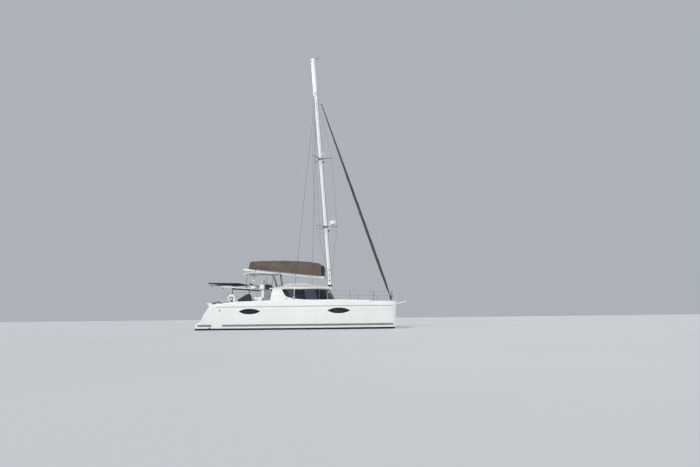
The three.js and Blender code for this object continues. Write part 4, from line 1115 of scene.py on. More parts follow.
def make_aft_face():
    aft, fore = BULKHEAD_X
    panes, trim, gap = Shape(), Shape(), 0.001
    for y0, y1 in AFT_PANES:
        low, high = (aft + 0.012, y0 + gap, PANE_LOW + gap), (fore - 0.016, y1 - gap, PANE_HIGH - gap)
        panes.block(low, high, 0.004)
        loop = [(y0, 2.1), (y0, PANE_HIGH), (y1, PANE_HIGH), (y1, PANE_LOW), (y0, PANE_LOW), (y0, 2.09)]
        trim.tube(bent([(aft + 0.004, y, z) for y, z in loop], 0.04), 0.009, 8)
    panes.piece("bulkhead_panes", "boat", "glass", "window_glass")
    trim.rod((aft - 0.005, -1.65, 2.575), (aft - 0.005, 1.65, 2.575), 0.018, 8)
    trim.piece("bulkhead_trim", "boat", "anodised", "anodised")


def make_door():
    low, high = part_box("saloon_door")
    left, right = low.y + STILE, high.y - STILE
    door = Shape()
    for y0, y1, z0, z1 in (
        (low.y, left, low.z, high.z), (right, high.y, low.z, high.z),
        (left - LAP, right + LAP, low.z, low.z + DOOR_FOOT),
        (left - LAP, right + LAP, high.z - STILE, high.z),
    ):
        door.block((low.x, y0, z0), (high.x, y1, z1), 0.008)
    x, inset = (low.x + high.x) / 2, STILE - 0.01
    pane = (x - 0.005, low.y + inset, low.z + 0.41), (x + 0.005, high.y - inset, high.z - inset)
    door.block(*pane, 0.002, 1)
    y = high.y - STILE / 2
    door.tube(staple((low.x, y, 1.7), (low.x, y, 1.95), (-0.045, 0, 0), 0.03), 0.009, 8, 2)
    door.piece("sliding_door", "saloon_door", ["anodised", "glass", "steel"], "anodised", "saloon_door")


def make_cockpit():
    low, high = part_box("aft_crossbeam")
    bench = [(low.x, low.z), (high.x, low.z), (high.x, 1.4), (-4.8, 1.4), (-4.85, high.z), (low.x, high.z)]
    beam = Shape().slab(bench, low.y, high.y, 0.02, flip=sideways)
    beam.piece("aft_bench", "boat", "gelcoat", "gelcoat", "aft_crossbeam")
    seat = Shape().block(*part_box("cockpit_settee"), 0.02)
    seat.piece("settee_base", "boat", "gelcoat", "gelcoat", "cockpit_settee")
    low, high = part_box("cockpit_table")
    table = Shape().slab(rounded_oblong(low.x, high.x, low.y, high.y, 0.1), 1.69, 1.725, 0.012)
    table.lathe(TABLE_LEG, (-3.2, 0.52, 0), kind=1)
    table.piece("cockpit_table_top", "boat", ["gelcoat", "anodised"], "deck", "cockpit_table")
    sole = Shape().slab(oblong(-4.3, -1.55, -1.6, 1.05), SOLE_Z + 0.0005, SOLE_Z + 0.006, 0.002, segments=1)
    sole.piece("cockpit_sole", "boat", "deck", "deck")


# Hardtop over the cockpit. Columns: place, height of its underside and of its top
HARDTOP_SIDE = [(-5.26, 2.85, 2.915), (-5.1, 2.837, 2.94), (-2.36, 2.613, 2.69), (-1.715, 2.56, 2.64)]


def hardtop_top(x):
    return smooth(HARDTOP_SIDE, x, 2)


def hardtop_under(x):
    return smooth(HARDTOP_SIDE, x, 1)


def hardtop_row(x, half, low, high, camber, rim_z, inset, count):
    """A section with a cambered top over a flat underside"""
    top = [(x, share * half, high - camber * share * share) for share in steps(-1, 1, count)]
    rim = [(half, rim_z), (half - inset, low)]
    under = [*rim, (0, low), *((-y, z) for y, z in reversed(rim))]
    return top + [(x, y, z) for y, z in under]


def make_hardtop():
    rows = []
    for x in [-5.26, -5.255, -5.24, -5.2, -5.14, *steps(-5.06, -2.46, 30), -2.42, -2.38, -2.36]:
        half = 2.2 - 0.3 * (1 - min((x + 5.26) / 0.4, 1)) ** 2.2
        thin = 0.035 * ease(-5.14, -5.26, x)
        low, high = hardtop_under(x) + thin, hardtop_top(x) - thin
        row = hardtop_row(x, half, low, high, 0.03, mix(low, high, 0.25), 0.03, 25)
        for end in (0, 24):
            row[end] = (x, row[end][1], row[end][2] - 0.02)
        rows.append(row)
    top = Shape().loft(rows)
    rows = []
    for x in [-2.37, *steps(-2.3, -1.715, 8)]:
        low, high = hardtop_under(x) + 0.001, hardtop_top(x)
        rows.append(hardtop_row(x, 1.86, low, high, 0.02, low + 0.02, 0.02, 15))
    top.loft(rows)
    top.piece("hardtop_moulding", "boat", "gelcoat", "gelcoat", "hardtop")


def make_hardtop_posts():
    """The two posts below the hardtop and the low grab rails on it"""
    trim = Shape()
    for name, side in SIDES.items():
        trim.tube([(x, side * 2.02, hardtop_top(x) + 0.012) for x in steps(-5.0, -3.9, 9)], 0.012, 8)
        for x in (-4.95, -4.45, -3.95):
            z = hardtop_top(x)
            trim.rod((x, side * 2.02, z + 0.012), (x, side * 2.02, z - 0.03), 0.01, 8)
        low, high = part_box(f"hardtop_post_{name}")
        x, y = (low.x + high.x) / 2, side * 1.96
        trim.rod((x, y, low.z), (x, y, high.z), 0.03, 20)
        for z, up in ((low.z, 1), (high.z, -1)):
            trim.lathe([(0.07, 0), (0.07, 0.006), (0.034, 0.02)], (x, y, z), (0, 0, up))
    posts = ["hardtop_post_port", "hardtop_post_starboard"]
    trim.piece("hardtop_posts", "boat", "dull_steel", "stainless", posts)


# Helm: locker and column, console, seat, wheel, bimini
COLUMN_LIGHT = (-2.19, -2.25, 2.925)
CONSOLE_X = (-2.23, -1.84)
WHEEL_CENTRE, WHEEL_R = Vector((-2.33, -1.32, 3.01)), 0.285
PAD_CELL, PAD_INSET, PAD_SWELL = 0.035, 0.008, 0.012


def make_helm_column():
    locker = Shape()
    locker.block((-2.75, -2.60, 1.84), (-2.12, -1.92, 2.115), 0.035)
    locker.block((-2.74, -2.606, 1.93), (-2.14, -2.59, 2.06), 0.006)
    locker.tube([(-2.15, -2.18, z) for z in (2.05, 2.3, 2.66)], [0.115, 0.1, 0.1], 24)
    locker.block((-2.32, -2.42, 2.64), (-2.05, -2.08, 2.93), 0.04)
    locker.block((-2.2, -2.08, 2.70), (-2.08, -1.9, 2.8), 0.02)
    locker.piece("side_locker", "boat", "gelcoat", "gelcoat", "helm_column")
    x, y, z = COLUMN_LIGHT
    light = Shape()
    light.lathe([(0.055, 0), (0.055, 0.04), (0.03, 0.05)], COLUMN_LIGHT)
    light.rod((x, y, z + 0.015), (x, y, z + 0.215), 0.016)
    light.lathe([(0.035, 0), (0.045, 0.02), (0.045, 0.07), (0.02, 0.1)], (x, y, z + 0.205))
    light.block((-2.50, -2.615, 1.99), (-2.40, -2.60, 2.02), 0.004, 1)
    light.piece("column_light", "boat", ["plastic", "steel"], "white_plastic")


def make_console():
    low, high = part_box("helm_console")
    (x0, x1), top_z, foot_z = CONSOLE_X, high.z, hardtop_top(-2.0) - 0.03
    middle = Vector(((x0 + x1) / 2, (low.y + high.y) / 2))
    rows = []
    for z in [foot_z, *steps(2.74, top_z - 0.06, 9), top_z - 0.03, top_z - 0.008, top_z]:
        up = ease(top_z - 0.09, top_z, z)
        inset = 0.006 + 0.085 * up ** 2
        flare = 0.006 * sin(9 * z) + 0.0075 * (1 - ease(2.66, 2.8, z))
        ring = []
        for x, y in rounded_oblong(x0 + inset, x1 - inset, low.y + inset, high.y - inset, 0.07, 7):
            fold = 0.009 * sin(17 * y + 6 * z) * sin(11 * (x + z)) * (1 - up)
            away = (Vector((x, y)) - middle).normalized() * (fold + flare)
            ring.append((x + away.x, y + away.y, z))
        rows.append(ring)
    cover = Shape().skin(rows, around=True)
    cover.faces.append(tuple(range(len(cover.vertices)))[-len(rows[-1]):])
    cover.kinds.append(0)
    piece = cover.piece("console_cover", "boat", "navy", "navy_canvas", "helm_console", 60)
    thicken(piece, 0.003)
    stand = Shape()
    stand.block((x0 + 0.05, low.y + 0.05, foot_z), (x1 - 0.05, high.y - 0.05, top_z - 0.03), 0.03)
    stand.piece("console_stand", "boat", "gelcoat", "gelcoat")


def make_wheel():
    rim = [WHEEL_CENTRE + WHEEL_R * Vector((0, cos(a), sin(a))) for a in turns(72)]
    wheel = Shape().tube(rim, 0.0155, 14, closed=True)
    hub = [(0.014, -0.03), (0.034, -0.026), (0.036, 0.0), (0.03, 0.02), (0.018, 0.034)]
    wheel.lathe(hub, WHEEL_CENTRE, AHEAD, kind=1)
    for a in turns(5):
        spoke = [WHEEL_CENTRE + reach * Vector((0, sin(a), cos(a))) for reach in (0.02, 0.15, 0.28)]
        wheel.tube(spoke, [0.0105, 0.0075, 0.009], 10, 1)
    wheel.piece("steering_wheel", "helm_wheel", ["rubber", "steel"], "stainless", "helm_wheel")


def pad(name, low, high, replaces=(), crown=0.02):
    """A crowned cushion with a seam along its middle, made a little small because it swells"""
    low, high = low + Vector((PAD_INSET, PAD_INSET, 0)), high - Vector((PAD_INSET, PAD_INSET, PAD_INSET))
    size = high - low
    nx, ny = (max(10, int(length / PAD_CELL)) for length in (size.x, size.y))
    top, base = [], []
    for u in [i / nx for i in range(nx + 1)]:
        top.append([])
        base.append([])
        for v in [j / ny for j in range(ny + 1)]:
            edge = min(u * size.x, (1 - u) * size.x, v * size.y, (1 - v) * size.y)
            x, y = low.x + u * size.x + drawn_in(u, v), low.y + v * size.y + drawn_in(v, u)
            full = crown * (1 - exp(-edge / PAD_CELL))
            top[-1].append((x, y, high.z - crown + full - (0.02 if edge == 0 else 0)))
            base[-1].append((x, y, low.z + (0.012 if edge == 0 else 0)))
    centre = (low + high) / 2
    belly = []
    for over, below in zip(edge_loop(top), edge_loop(base)):
        x, y, z = (mix(a, b, 0.5) for a, b in zip(over, below))
        away = Vector((x - centre.x, y - centre.y)).normalized() * 0.006
        belly.append((x + away.x, y + away.y, z))
    cushion = Shape().skin(top).skin([row[::-1] for row in base])
    cushion.skin([edge_loop(top), belly, edge_loop(base)], around=True)
    piece = cushion.piece(name, "boat", "cushion", "cushion", replaces, 60)
    weld(piece, 0.0005)
    puff_up(piece, PAD_SWELL)
    sew_channel(piece, low, high)


def drawn_in(u, v):
    """How far the rim at u = 0 or 1 is pulled inwards, most in the middle of its length"""
    return 0.012 * sin(pi * v) ** 0.5 * {0: 1, 1: -1}[u] if u in (0, 1) else 0


def puff_up(piece, most):
    """Fills the pad like a stuffed bag: cloth under pressure, with no vertex moving further than most"""
    remesh = piece.modifiers.new("even", "REMESH")
    remesh.mode, remesh.voxel_size = "VOXEL", 0.022
    apply_modifiers(piece)
    start = [v.co.copy() for v in piece.data.vertices]
    floor = min(v.z for v in start)
    cloth = piece.modifiers.new("stuffing", "CLOTH")
    cloth.settings.use_pressure = True
    cloth.settings.uniform_pressure_force = 4
    cloth.settings.effector_weights.gravity = 0
    cloth.point_cache.frame_end = 20
    for step in range(1, 21):
        bpy.context.scene.frame_set(step)
    apply_modifiers(piece)
    bpy.context.scene.frame_set(1)
    for vertex, before in zip(piece.data.vertices, start):
        move = vertex.co - before
        if move.length > most:
            move = move.normalized() * most
        vertex.co = before + move
        vertex.co.z = max(vertex.co.z, floor)
    rounder = piece.modifiers.new("rounder", "SUBSURF")
    rounder.levels = rounder.render_levels = 1
    apply_modifiers(piece)
    piece.data.shade_smooth()


def sew_channel(piece, low, high):
    """Presses a seam into the pad's top along the middle of its width"""
    middle = mix(low.y, high.y, 0.5)
    for vertex in piece.data.vertices:
        if vertex.co.z >= mix(low.z, high.z, 0.4):
            vertex.co.z -= 0.018 * exp(-(abs(middle - vertex.co.y) / 0.014) ** 2)


def edge_loop(rows):
    """The points round the rim of a grid"""
    return [*rows[0], *[row[-1] for row in rows[1:]], *rows[-1][-2::-1], *[row[0] for row in rows[-2:0:-1]]]


def weld(piece, distance):
    tidy = bmesh.new()
    tidy.from_mesh(piece.data)
    bmesh.ops.remove_doubles(tidy, verts=tidy.verts, dist=distance)
    bmesh.ops.recalc_face_normals(tidy, faces=tidy.faces)
    tidy.to_mesh(piece.data)
    tidy.free()


def make_helm_seat():
    low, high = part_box("helm_seat")
    base = Shape()
    base.block((-3.14, low.y + 0.04, hardtop_top(-3.0) - 0.02), (-2.78, high.y - 0.04, 2.885), 0.03)
    left, right = low.y + 0.08, high.y - 0.08
    hoop = [(-3.19, left, 2.86), (-3.215, left, 3.10), (-3.215, right, 3.10), (-3.19, right, 2.86)]
    base.tube(bent(hoop, 0.08), 0.014, 10, 1)
    base.piece("helm_seat_base", "boat", ["gelcoat", "steel"], "gelcoat")
    pad("helm_seat_cushion", Vector((-3.17, low.y, 2.885)), Vector((-2.76, high.y, 2.965)), "helm_seat")
    back = Vector((-3.235, low.y + 0.01, 2.965)), Vector((-3.165, high.y - 0.01, 3.13))
    pad("helm_seat_back", *back, crown=0.01)


VALANCE, BIMINI_HOOPS = 0.06, (0.16, 0.84)
BIMINI_FEET = ((-3.35, -2.12, 2.79), (-2.01, -1.79, 2.672))


def bimini_z(x):
    share = (x + 3.555) / 1.955
    return 3.712 + 0.09 * (1 - (2 * share - 1) ** 2)


def valance(low, high, y):
    """How far the cloth has turned down at y, near its two sides"""
    v = (y - low.y) / (high.y - low.y)
    return VALANCE * (1 - min(1, 12 * min(v, 1 - v))) ** 2


def make_bimini():
    low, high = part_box("helm_bimini")
    hoops = [mix(low.x, high.x, share) for share in BIMINI_HOOPS]
    across = steps(low.y, high.y, 31)
    rows = []
    for x in steps(low.x, high.x, 41):
        free = min(*(abs(x - hoop) for hoop in hoops), 0.35) / 0.35
        row = []
        for y in across:
            sag = 0.02 * free * sin(pi * (y - low.y) / (high.y - low.y))
            row.append((x, y, bimini_z(x) - sag - valance(low, high, y)))
        rows.append(row)
    under = [[(x, y, z - 0.004) for x, y, z in row] for row in rows]
    top = Shape().skin(rows).skin(under)
    top.skin([edge_loop(rows), edge_loop(under)], around=True)
    piece = top.piece("bimini_top", "boat", "white_cloth", "white_fabric", "helm_bimini", 60)
    weld(piece, 0.0005)
    hems = Shape()
    for x in (low.x, high.x):
        line = [(x, y, bimini_z(x) - 0.002 - valance(low, high, y)) for y in steps(low.y, high.y, 25)]
        hems.tube(line, 0.011, 8)
    for y in (low.y, high.y):
        hems.tube([(x, y, bimini_z(x) - 0.003 - VALANCE) for x in steps(low.x, high.x, 25)], 0.009, 8)
    hems.piece("bimini_hems", "boat", "white_cloth", "white_fabric")


def make_bimini_frame():
    low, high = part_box("helm_bimini")
    right, left = low.y + 0.06, high.y - 0.06
    tubes, tops = Shape(), []
    for share, (foot_x, foot_y, foot_z) in zip(BIMINI_HOOPS, BIMINI_FEET):
        x = mix(low.x, high.x, share)
        z = bimini_z(x) - 0.044
        tops.append((x, z))
        hoop = [(foot_x, foot_y, foot_z), (x, right, z), (x, left, z), (foot_x, left, foot_z)]
        tubes.tube(bent(hoop, 0.13, 8), 0.014, 12)
        for y in (foot_y, left):
            tubes.lathe([(0.04, -0.006), (0.04, 0.004), (0.02, 0.03), (0.016, 0.05)], (foot_x, y, foot_z))
    for y in (-1.90, -0.85):
        tubes.tube([(x, y, z) for x, z in tops], 0.011)
    tubes.piece("bimini_tubes", "boat", "dull_steel", "stainless", "bimini_frame")


cabin = cabin_curves()
make_cabin_walls(cabin)
make_windows(cabin)
make_mullions(cabin)
make_roof()
make_roof_panels()
make_roof_hatches()
make_roof_rails()
make_roof_lines()
make_aft_face()
make_door()
make_cockpit()
make_hardtop()
make_hardtop_posts()
make_helm_column()
make_console()
make_wheel()
make_helm_seat()
make_bimini_frame()
make_bimini()

# Mast and rig
MAST_FOOT, MAST_HEAD = Vector((2.075, 0, 2.905)), Vector((0.85, 0, 20.185))
HOUNDS_Z, MAST_HALF = 17.4, (0.13, 0.075)
STAY_FOOT = Vector((6.45, 0, 1.62))
# Columns: height at the mast, place of the side tips and of the fore tip, height of the tips
SPREADERS = {"lower": (7.14, 1.23, 2.58, 7.17), "upper": (12.23, 0.92, 2.23, 12.27)}
SPREADER_TIP_Y = 0.85
CRANE = [(0.63, 20.03), (0.66, 20.02), (1.0, 20.06), (1.01, 20.12), (0.63, 20.13)]
MAST_WINCH = [
    (0.06, 0), (0.062, 0.02), (0.045, 0.04), (0.042, 0.09), (0.055, 0.12), (0.055, 0.13), (0.02, 0.14),
]
TURNBUCKLE = [
    (0.006, 0), (0.011, 0.02), (0.011, 0.08), (0.017, 0.1), (0.017, 0.26), (0.011, 0.28), (0.011, 0.4),
    (0.008, 0.42),
]
CHAINPLATE_X, CHAINPLATE_Y, DIAMOND_FOOT_Z = 0.19, 3.6, 3.42
# Columns: place before the mast's axis, place across, foot, head
HALYARDS = [
    (-0.15, 0.03, 3.1, 19.9), (-0.15, -0.035, 3.1, 17.2), (0.02, 0.083, 3.15, 12.0),
    (0.147, -0.02, 3.05, 17.55), (0.05, -0.084, 4.2, 16.8),
]


def mast_x(z):
    return mix(MAST_FOOT.x, MAST_HEAD.x, (z - MAST_FOOT.z) / (MAST_HEAD.z - MAST_FOOT.z))


STAY_HEAD = Vector((mast_x(HOUNDS_Z) + MAST_HALF[0] + 0.012, 0, HOUNDS_Z))
STAY_ALONG = (STAY_HEAD - STAY_FOOT).normalized()
STAY_ACROSS = STAY_ALONG.cross(ACROSS).normalized()


def slim(z):
    """The share of its full section that the mast has at z"""
    return 1 - 0.15 * ease(HOUNDS_Z, MAST_HEAD.z, z)


def mast_ring(z, grow=0.0):
    """The mast's section: an oval with a luff groove down its aft face"""
    ring = []
    for a in turns(44):
        groove = 0.012 if abs(a - pi) < 0.08 else 0
        half_x, half_y = slim(z) * MAST_HALF[0] + grow - groove, slim(z) * MAST_HALF[1] + grow
        ring.append((mast_x(z) + half_x * cos(a), half_y * sin(a), z))
    return ring


def make_mast():
    mast = Shape().loft([mast_ring(z) for z in steps(MAST_FOOT.z, MAST_HEAD.z, 40)])
    mast.slab(CRANE, -0.035, 0.035, 0.012, flip=sideways)
    mast.piece("mast_section", "boat", "spar", "spar", "mast", 50)
    track = Shape()
    for out, radius in ((0.012, 0.008), (0.02, 0.012)):
        line = [(mast_x(z) - MAST_HALF[0] * slim(z) - out, 0, z) for z in steps(3.6, 19.9, 20)]
        track.tube(line, radius, 6)
    track.piece("mast_track", "boat", "anodised", "anodised")


def make_mast_fittings():
    """The collar and foot, two line exits, two winches, three sheave boxes and the shroud plates"""
    gear = Shape()
    collar = ((2.906, 0.035), (2.93, 0.035), (2.945, 0.012), (3.0, 0.008))
    gear.loft([mast_ring(z, grow) for z, grow in collar], 1)
    for z, side in ((3.3, -1), (3.62, 1)):
        x = mast_x(z)
        gear.block((x - 0.04, side * 0.068, z - 0.07), (x + 0.04, side * 0.084, z + 0.07), 0.01, 1)
    gear.block((2.0, -0.2, 2.9), (2.2, 0.2, 2.935), 0.012, 1)
    for side in (-1, 1):
        gear.lathe(MAST_WINCH, (mast_x(4.05) + 0.02, side * 0.07, 4.05), (0, side, 0))
    for z, out in ((17.62, 0.16), (17.9, 0.14), (16.9, 0.15)):
        x = mast_x(z)
        gear.block((x + 0.06, -0.025, z - 0.05), (x + out + 0.03, 0.025, z + 0.05), 0.012)
        gear.lathe([(0.03, -0.012), (0.034, 0), (0.03, 0.012)], (x + out + 0.02, 0, z - 0.04), ACROSS, kind=1)
    x, z = mast_x(HOUNDS_Z), HOUNDS_Z
    for side in SIDES.values():
        gear.block((x - 0.03, side * 0.06, z - 0.12), (x + 0.03, side * 0.088, z + 0.05), 0.008)
    gear.piece("mast_fittings", "boat", ["steel", "rubber"], "stainless")


def make_mast_lights():
    """The wind vane and masthead light, two short aerials, the steaming light and two spreader lamps"""
    top = Shape()
    top.tube([(0.98, 0.02, 20.1), (1.22, 0.02, 20.16), (1.26, 0.02, 20.17)], 0.007, 8, 1)
    top.rod((1.25, 0.02, 20.16), (1.25, 0.02, 20.185), 0.006, 8, 1)
    vane = [(1.12, -0.005), (1.19, -0.03), (1.3, -0.004), (1.3, 0.004), (1.19, 0.03)]
    top.slab(vane, 20.172, 20.18, 0.001, 1, 1)
    top.lathe([(0.03, 0), (0.035, 0.01), (0.035, 0.07), (0.02, 0.085)], (0.86, 0, 20.1))
    for x in (0.75, 0.92):
        top.rod((x, -0.02, 20.1), (x, -0.02, 20.18), 0.005, 6, 1)
    x, z = mast_x(12.6), 12.6
    top.lathe([(0.045, -0.05), (0.05, -0.03), (0.05, 0.05), (0.03, 0.08)], (x + 0.21, 0, z))
    top.block((x + 0.12, -0.02, z - 0.03), (x + 0.18, 0.02, z + 0.02), 0.006)
    for z in (6.86, 11.98):
        x = mast_x(z)
        top.lathe([(0.03, -0.05), (0.07, 0.0), (0.07, 0.03), (0.03, 0.05)], (x + 0.19, 0, z), kind=1)
        top.block((x + 0.11, -0.02, z - 0.02), (x + 0.15, 0.02, z + 0.03), 0.006, 1)
    top.piece("mast_lights", "boat", ["plastic", "rubber"], "white_plastic")


def make_halyards():
    ropes = Shape()
    for k, (out, y, z0, z1) in enumerate(HALYARDS):
        line = [(mast_x(z) + out, y, z) for z in steps(z0, z1, 12)]
        ropes.tube(line, 0.009 if out > 0.1 else 0.006, 6, k % 2)
    head, tip = Vector((mast_x(17.85) + 0.17, 0, 17.84)), Vector((7.41, 0, 1.83))
    ropes.tube([head.lerp(tip, t) for t in steps(0, 1, 12)], 0.007, 6)
    ropes.piece("halyards", "boat", ["rope", "dark_rope"])


def make_spreaders():
    """Sets of three arms, one to each side and one forward"""
    for name, (z, side_x, fore_x, tip_z) in SPREADERS.items():
        arms, caps = Shape(), Shape()
        centre = Vector((mast_x(z), 0, z))
        for x, y in ((side_x, SPREADER_TIP_Y), (side_x, -SPREADER_TIP_Y), (fore_x, 0)):
            tip = Vector((x, y, tip_z))
            along = (tip - centre).normalized()
            flat = along.cross(UP).normalized()
            up = flat.cross(along)
            rows = []
            for t in steps(0.14, 1, 12):
                hub, chord, thick = centre.lerp(tip, t), mix(0.05, 0.026, t), mix(0.026, 0.015, t)
                rows.append([hub + flat * chord * cos(a) + up * thick * sin(a) for a in turns(18)])
            arms.loft(rows)
            caps.lathe([(0.02, -0.03), (0.032, -0.02), (0.034, 0.012), (0.02, 0.03)], tip, along, 16)
        clamp = ((-0.085, 0.004), (-0.075, 0.014), (0.075, 0.014), (0.085, 0.004))
        arms.loft([mast_ring(z + rise, grow) for rise, grow in clamp])
        # The spreaders get a mid grey, darker than the white spar, as painted shade on their undersides
        arms.piece(f"spreader_set_{name}", "boat", "grey_spar", "spar", f"spreaders_{name}")
        caps.piece(f"spreader_caps_{name}", "boat", "rubber")


def turnbuckle(shape, start, direction, scale=1.0):
    shape.lathe([(r * scale, h * scale) for r, h in TURNBUCKLE], start, direction, 12)


def make_stays():
    wires = Shape()
    z = DIAMOND_FOOT_Z
    for side in SIDES.values():
        foot = Vector((CHAINPLATE_X, side * CHAINPLATE_Y, deck_z(CHAINPLATE_X)))
        head = Vector((mast_x(HOUNDS_Z), side * 0.085, HOUNDS_Z))
        wires.block(foot - Vector((0.06, 0.012, 0.03)), foot + Vector((0.06, 0.012, 0.07)), 0.004, 0, 1)
        along = (head - foot).normalized()
        turnbuckle(wires, foot + along * 0.04, along, 1.2)
        sleeve = [foot + along * reach for reach in (0.12, 0.14, 0.93, 0.95)]
        wires.tube(sleeve, [0.012, 0.016, 0.016, 0.012], 12, 1)
        wires.tube([foot.lerp(head, t) for t in steps(0.03, 1, 6)], 0.0075, 8, 2)
        for _, side_x, _, tip_z in SPREADERS.values():
            tip = (side_x - 0.004, side * (SPREADER_TIP_Y + 0.02), tip_z)
            wires.lathe([(0.01, -0.05), (0.018, 0), (0.01, 0.05)], tip, kind=1)
        turnbuckle(wires, (mast_x(z), side * 0.084, z), (-0.14, side * 0.2, 3.7))
    turnbuckle(wires, (mast_x(z) + 0.14, 0, z), (0.2, 0, 3.7))
    shrouds = ["cap_shroud_port", "cap_shroud_starboard"]
    wires.piece("shroud_fittings", "boat", ["steel", "plastic", "dark_wire"], "stainless", shrouds)


def stay_point(z):
    return STAY_FOOT.lerp(STAY_HEAD, (z - STAY_FOOT.z) / (STAY_HEAD.z - STAY_FOOT.z))


def round_stay(z, radius, a):
    return stay_point(z) + STAY_ACROSS * radius * cos(a) + ACROSS * radius * sin(a)


FURLER_DRUM = [
    (0.03, -0.05), (0.085, -0.045), (0.088, -0.035), (0.05, -0.025), (0.046, 0.035),
    (0.085, 0.05), (0.088, 0.062), (0.05, 0.075), (0.042, 0.2), (0.028, 0.23),
]
ROLL_TURN, ROLL_SIDES = 1.35, 40
# Columns: height, radius
SAIL_ROLL = [
    (2.15, 0.030), (2.45, 0.045), (3.1, 0.082), (4.5, 0.105), (9.0, 0.100), (13.5, 0.062), (16.34, 0.030),
]


def make_furler():
    stay = Shape()
    stay.tube([stay_point(z) for z in (1.62, 1.75, 2.1)], 0.014, 12)
    stay.tube([stay_point(z) for z in (2.05, 2.3, 9.0, 16.5)], 0.021, 12)
    stay.tube([stay_point(z) for z in (16.5, 17.1, 17.4)], 0.008)
    swivel = [(0.03, 0), (0.045, 0.02), (0.045, 0.09), (0.03, 0.11)]
    stay.lathe(swivel, stay_point(16.4), STAY_ALONG, 20, 1)
    stay.lathe(FURLER_DRUM, stay_point(1.99), STAY_ALONG, 32, 1)
    tack = [(-0.02, -0.03), (0.14, -0.05), (0.14, 0.05), (-0.02, 0.03)]
    stay.slab(tack, -0.06, -0.045, 0.004, 0, 1, lambda u, v, w: stay_point(2.3) + Vector((u, v, w)))
    stay.piece("headsail_furler", "boat", ["steel", "rubber"], "stainless", "forestay")
    line = Shape()
    route = [
        stay_point(1.99) + Vector((-0.06, 0.06, 0)), (6.1, 0.3, 1.86), (5.9, 2.1, 1.86), (5.6, 2.75, 1.86),
    ]
    line.tube(bent(route, 0.2), 0.005, 6)
    line.piece("furling_line", "boat", "rope")


def make_headsail():
    """The rolled sail: the edge of its cloth winds round it as a low step, with a cord along it"""
    rows = []
    for z in steps(SAIL_ROLL[0][0], SAIL_ROLL[-1][0], 230):
        radius = smooth(SAIL_ROLL, z, 1)
        ring = []
        for k, a in enumerate(turns(ROLL_SIDES)):
            turn = (k / ROLL_SIDES + z / ROLL_TURN) % 1
            lip = mix(0.86, 1.0, turn) if turn > 0.08 else mix(1.0, 0.86, turn / 0.08)
            wrinkle = 1 + 0.018 * sin(3 * a + 9 * z) + 0.012 * sin(7 * a - 23 * z)
            ring.append(round_stay(z, max(radius * lip * wrinkle, 0.024), a))
        rows.append(ring)
    sail = Shape().loft(rows)
    sail.piece("rolled_headsail", "boat", "sail", "headsail", "furled_headsail", 40)
    path = []
    for z in steps(2.3, 16.0, 420):
        path.append(round_stay(z, smooth(SAIL_ROLL, z, 1) * 1.01, -2 * pi * z / ROLL_TURN))
    Shape().tube(path, 0.006, 5).piece("headsail_leech_cord", "boat", "dark_rope")


# Boom with its sail cover. It swings about a pin parallel to the mast
GOOSENECK, PIN_SLOPE = Vector((1.72, 0, 3.516)), -0.070714 / 0.997497
BOOM_SLOPE, BOOM_HALF = 0.115, (0.06, 0.075)
LIFT_TOP_Z, JACK_TOP_Z, JACK_SPLIT = 20.05, 15.9, (-0.35, 0.16, 8.4)
COVER_POINTS, SHOULDER = 22, 20
# Columns: place, height of the ridge, half breadth low and high
COVER = [
    (-3.80, 4.33, 0.060, 0.030), (-3.70, 4.70, 0.10, 0.04), (-3.60, 4.765, 0.125, 0.04),
    (-2.26, 4.785, 0.165, 0.045), (-0.44, 4.735, 0.180, 0.050), (0.90, 4.600, 0.185, 0.055),
    (1.38, 4.495, 0.160, 0.050), (1.45, 4.40, 0.14, 0.05), (1.50, 3.90, 0.10, 0.045),
]


def boom_z(x):
    return GOOSENECK.z + (GOOSENECK.x - x) * BOOM_SLOPE


def axis_x(z):
    return GOOSENECK.x + PIN_SLOPE * (z - GOOSENECK.z)


def make_boom():
    rows = []
    for x in [-4.20, -4.19, -4.1, *steps(-4.0, 1.5, 30), 1.58, 1.62]:
        size = mix(0.75, 1, ease(-4.2, -3.9, x))
        ring = []
        for a in turns(36):
            y, z = (copysign(abs(part) ** 0.55, part) for part in (cos(a), sin(a)))
            ring.append((x, size * BOOM_HALF[0] * y, boom_z(x) + size * BOOM_HALF[1] * z))
        rows.append(ring)
    Shape().loft(rows).piece("boom_section", "boom", "spar", "spar", "boom", 50)


def make_boom_fittings():
    ends = Shape()
    sleeve = [(0.0145, -0.045), (0.034, -0.045), (0.034, 0.045), (0.0145, 0.045)]
    ends.lathe(sleeve, GOOSENECK, (PIN_SLOPE, 0, 1), 24, 1)
    z = GOOSENECK.z
    ends.block((1.60, -0.05, z - 0.05), (1.63, 0.05, z + 0.075), 0.01, 1)
    ends.block((1.62, -0.022, z - 0.035), (1.70, 0.022, z + 0.04), 0.006, 1)
    z = boom_z(-4.2)
    ends.block((-4.205, -0.035, z - 0.055), (-4.16, 0.035, z + 0.055), 0.01)
    for x in (-1.5, -1.76, -2.02):
        bail = ((-0.05, -0.07), (-0.03, -0.12), (0.03, -0.12), (0.05, -0.07))
        ends.tube(bent([(x + reach, 0, boom_z(x) + rise) for reach, rise in bail], 0.03), 0.008, 8, 1)
    for x in (-2.9, -0.4, 0.6):
        z = boom_z(x)
        ends.block((x - 0.03, -0.066, z - 0.03), (x + 0.03, 0.066, z + 0.02), 0.006, 0, 1)
    ends.piece("boom_fittings", "boom", ["rubber", "steel"], "stainless")


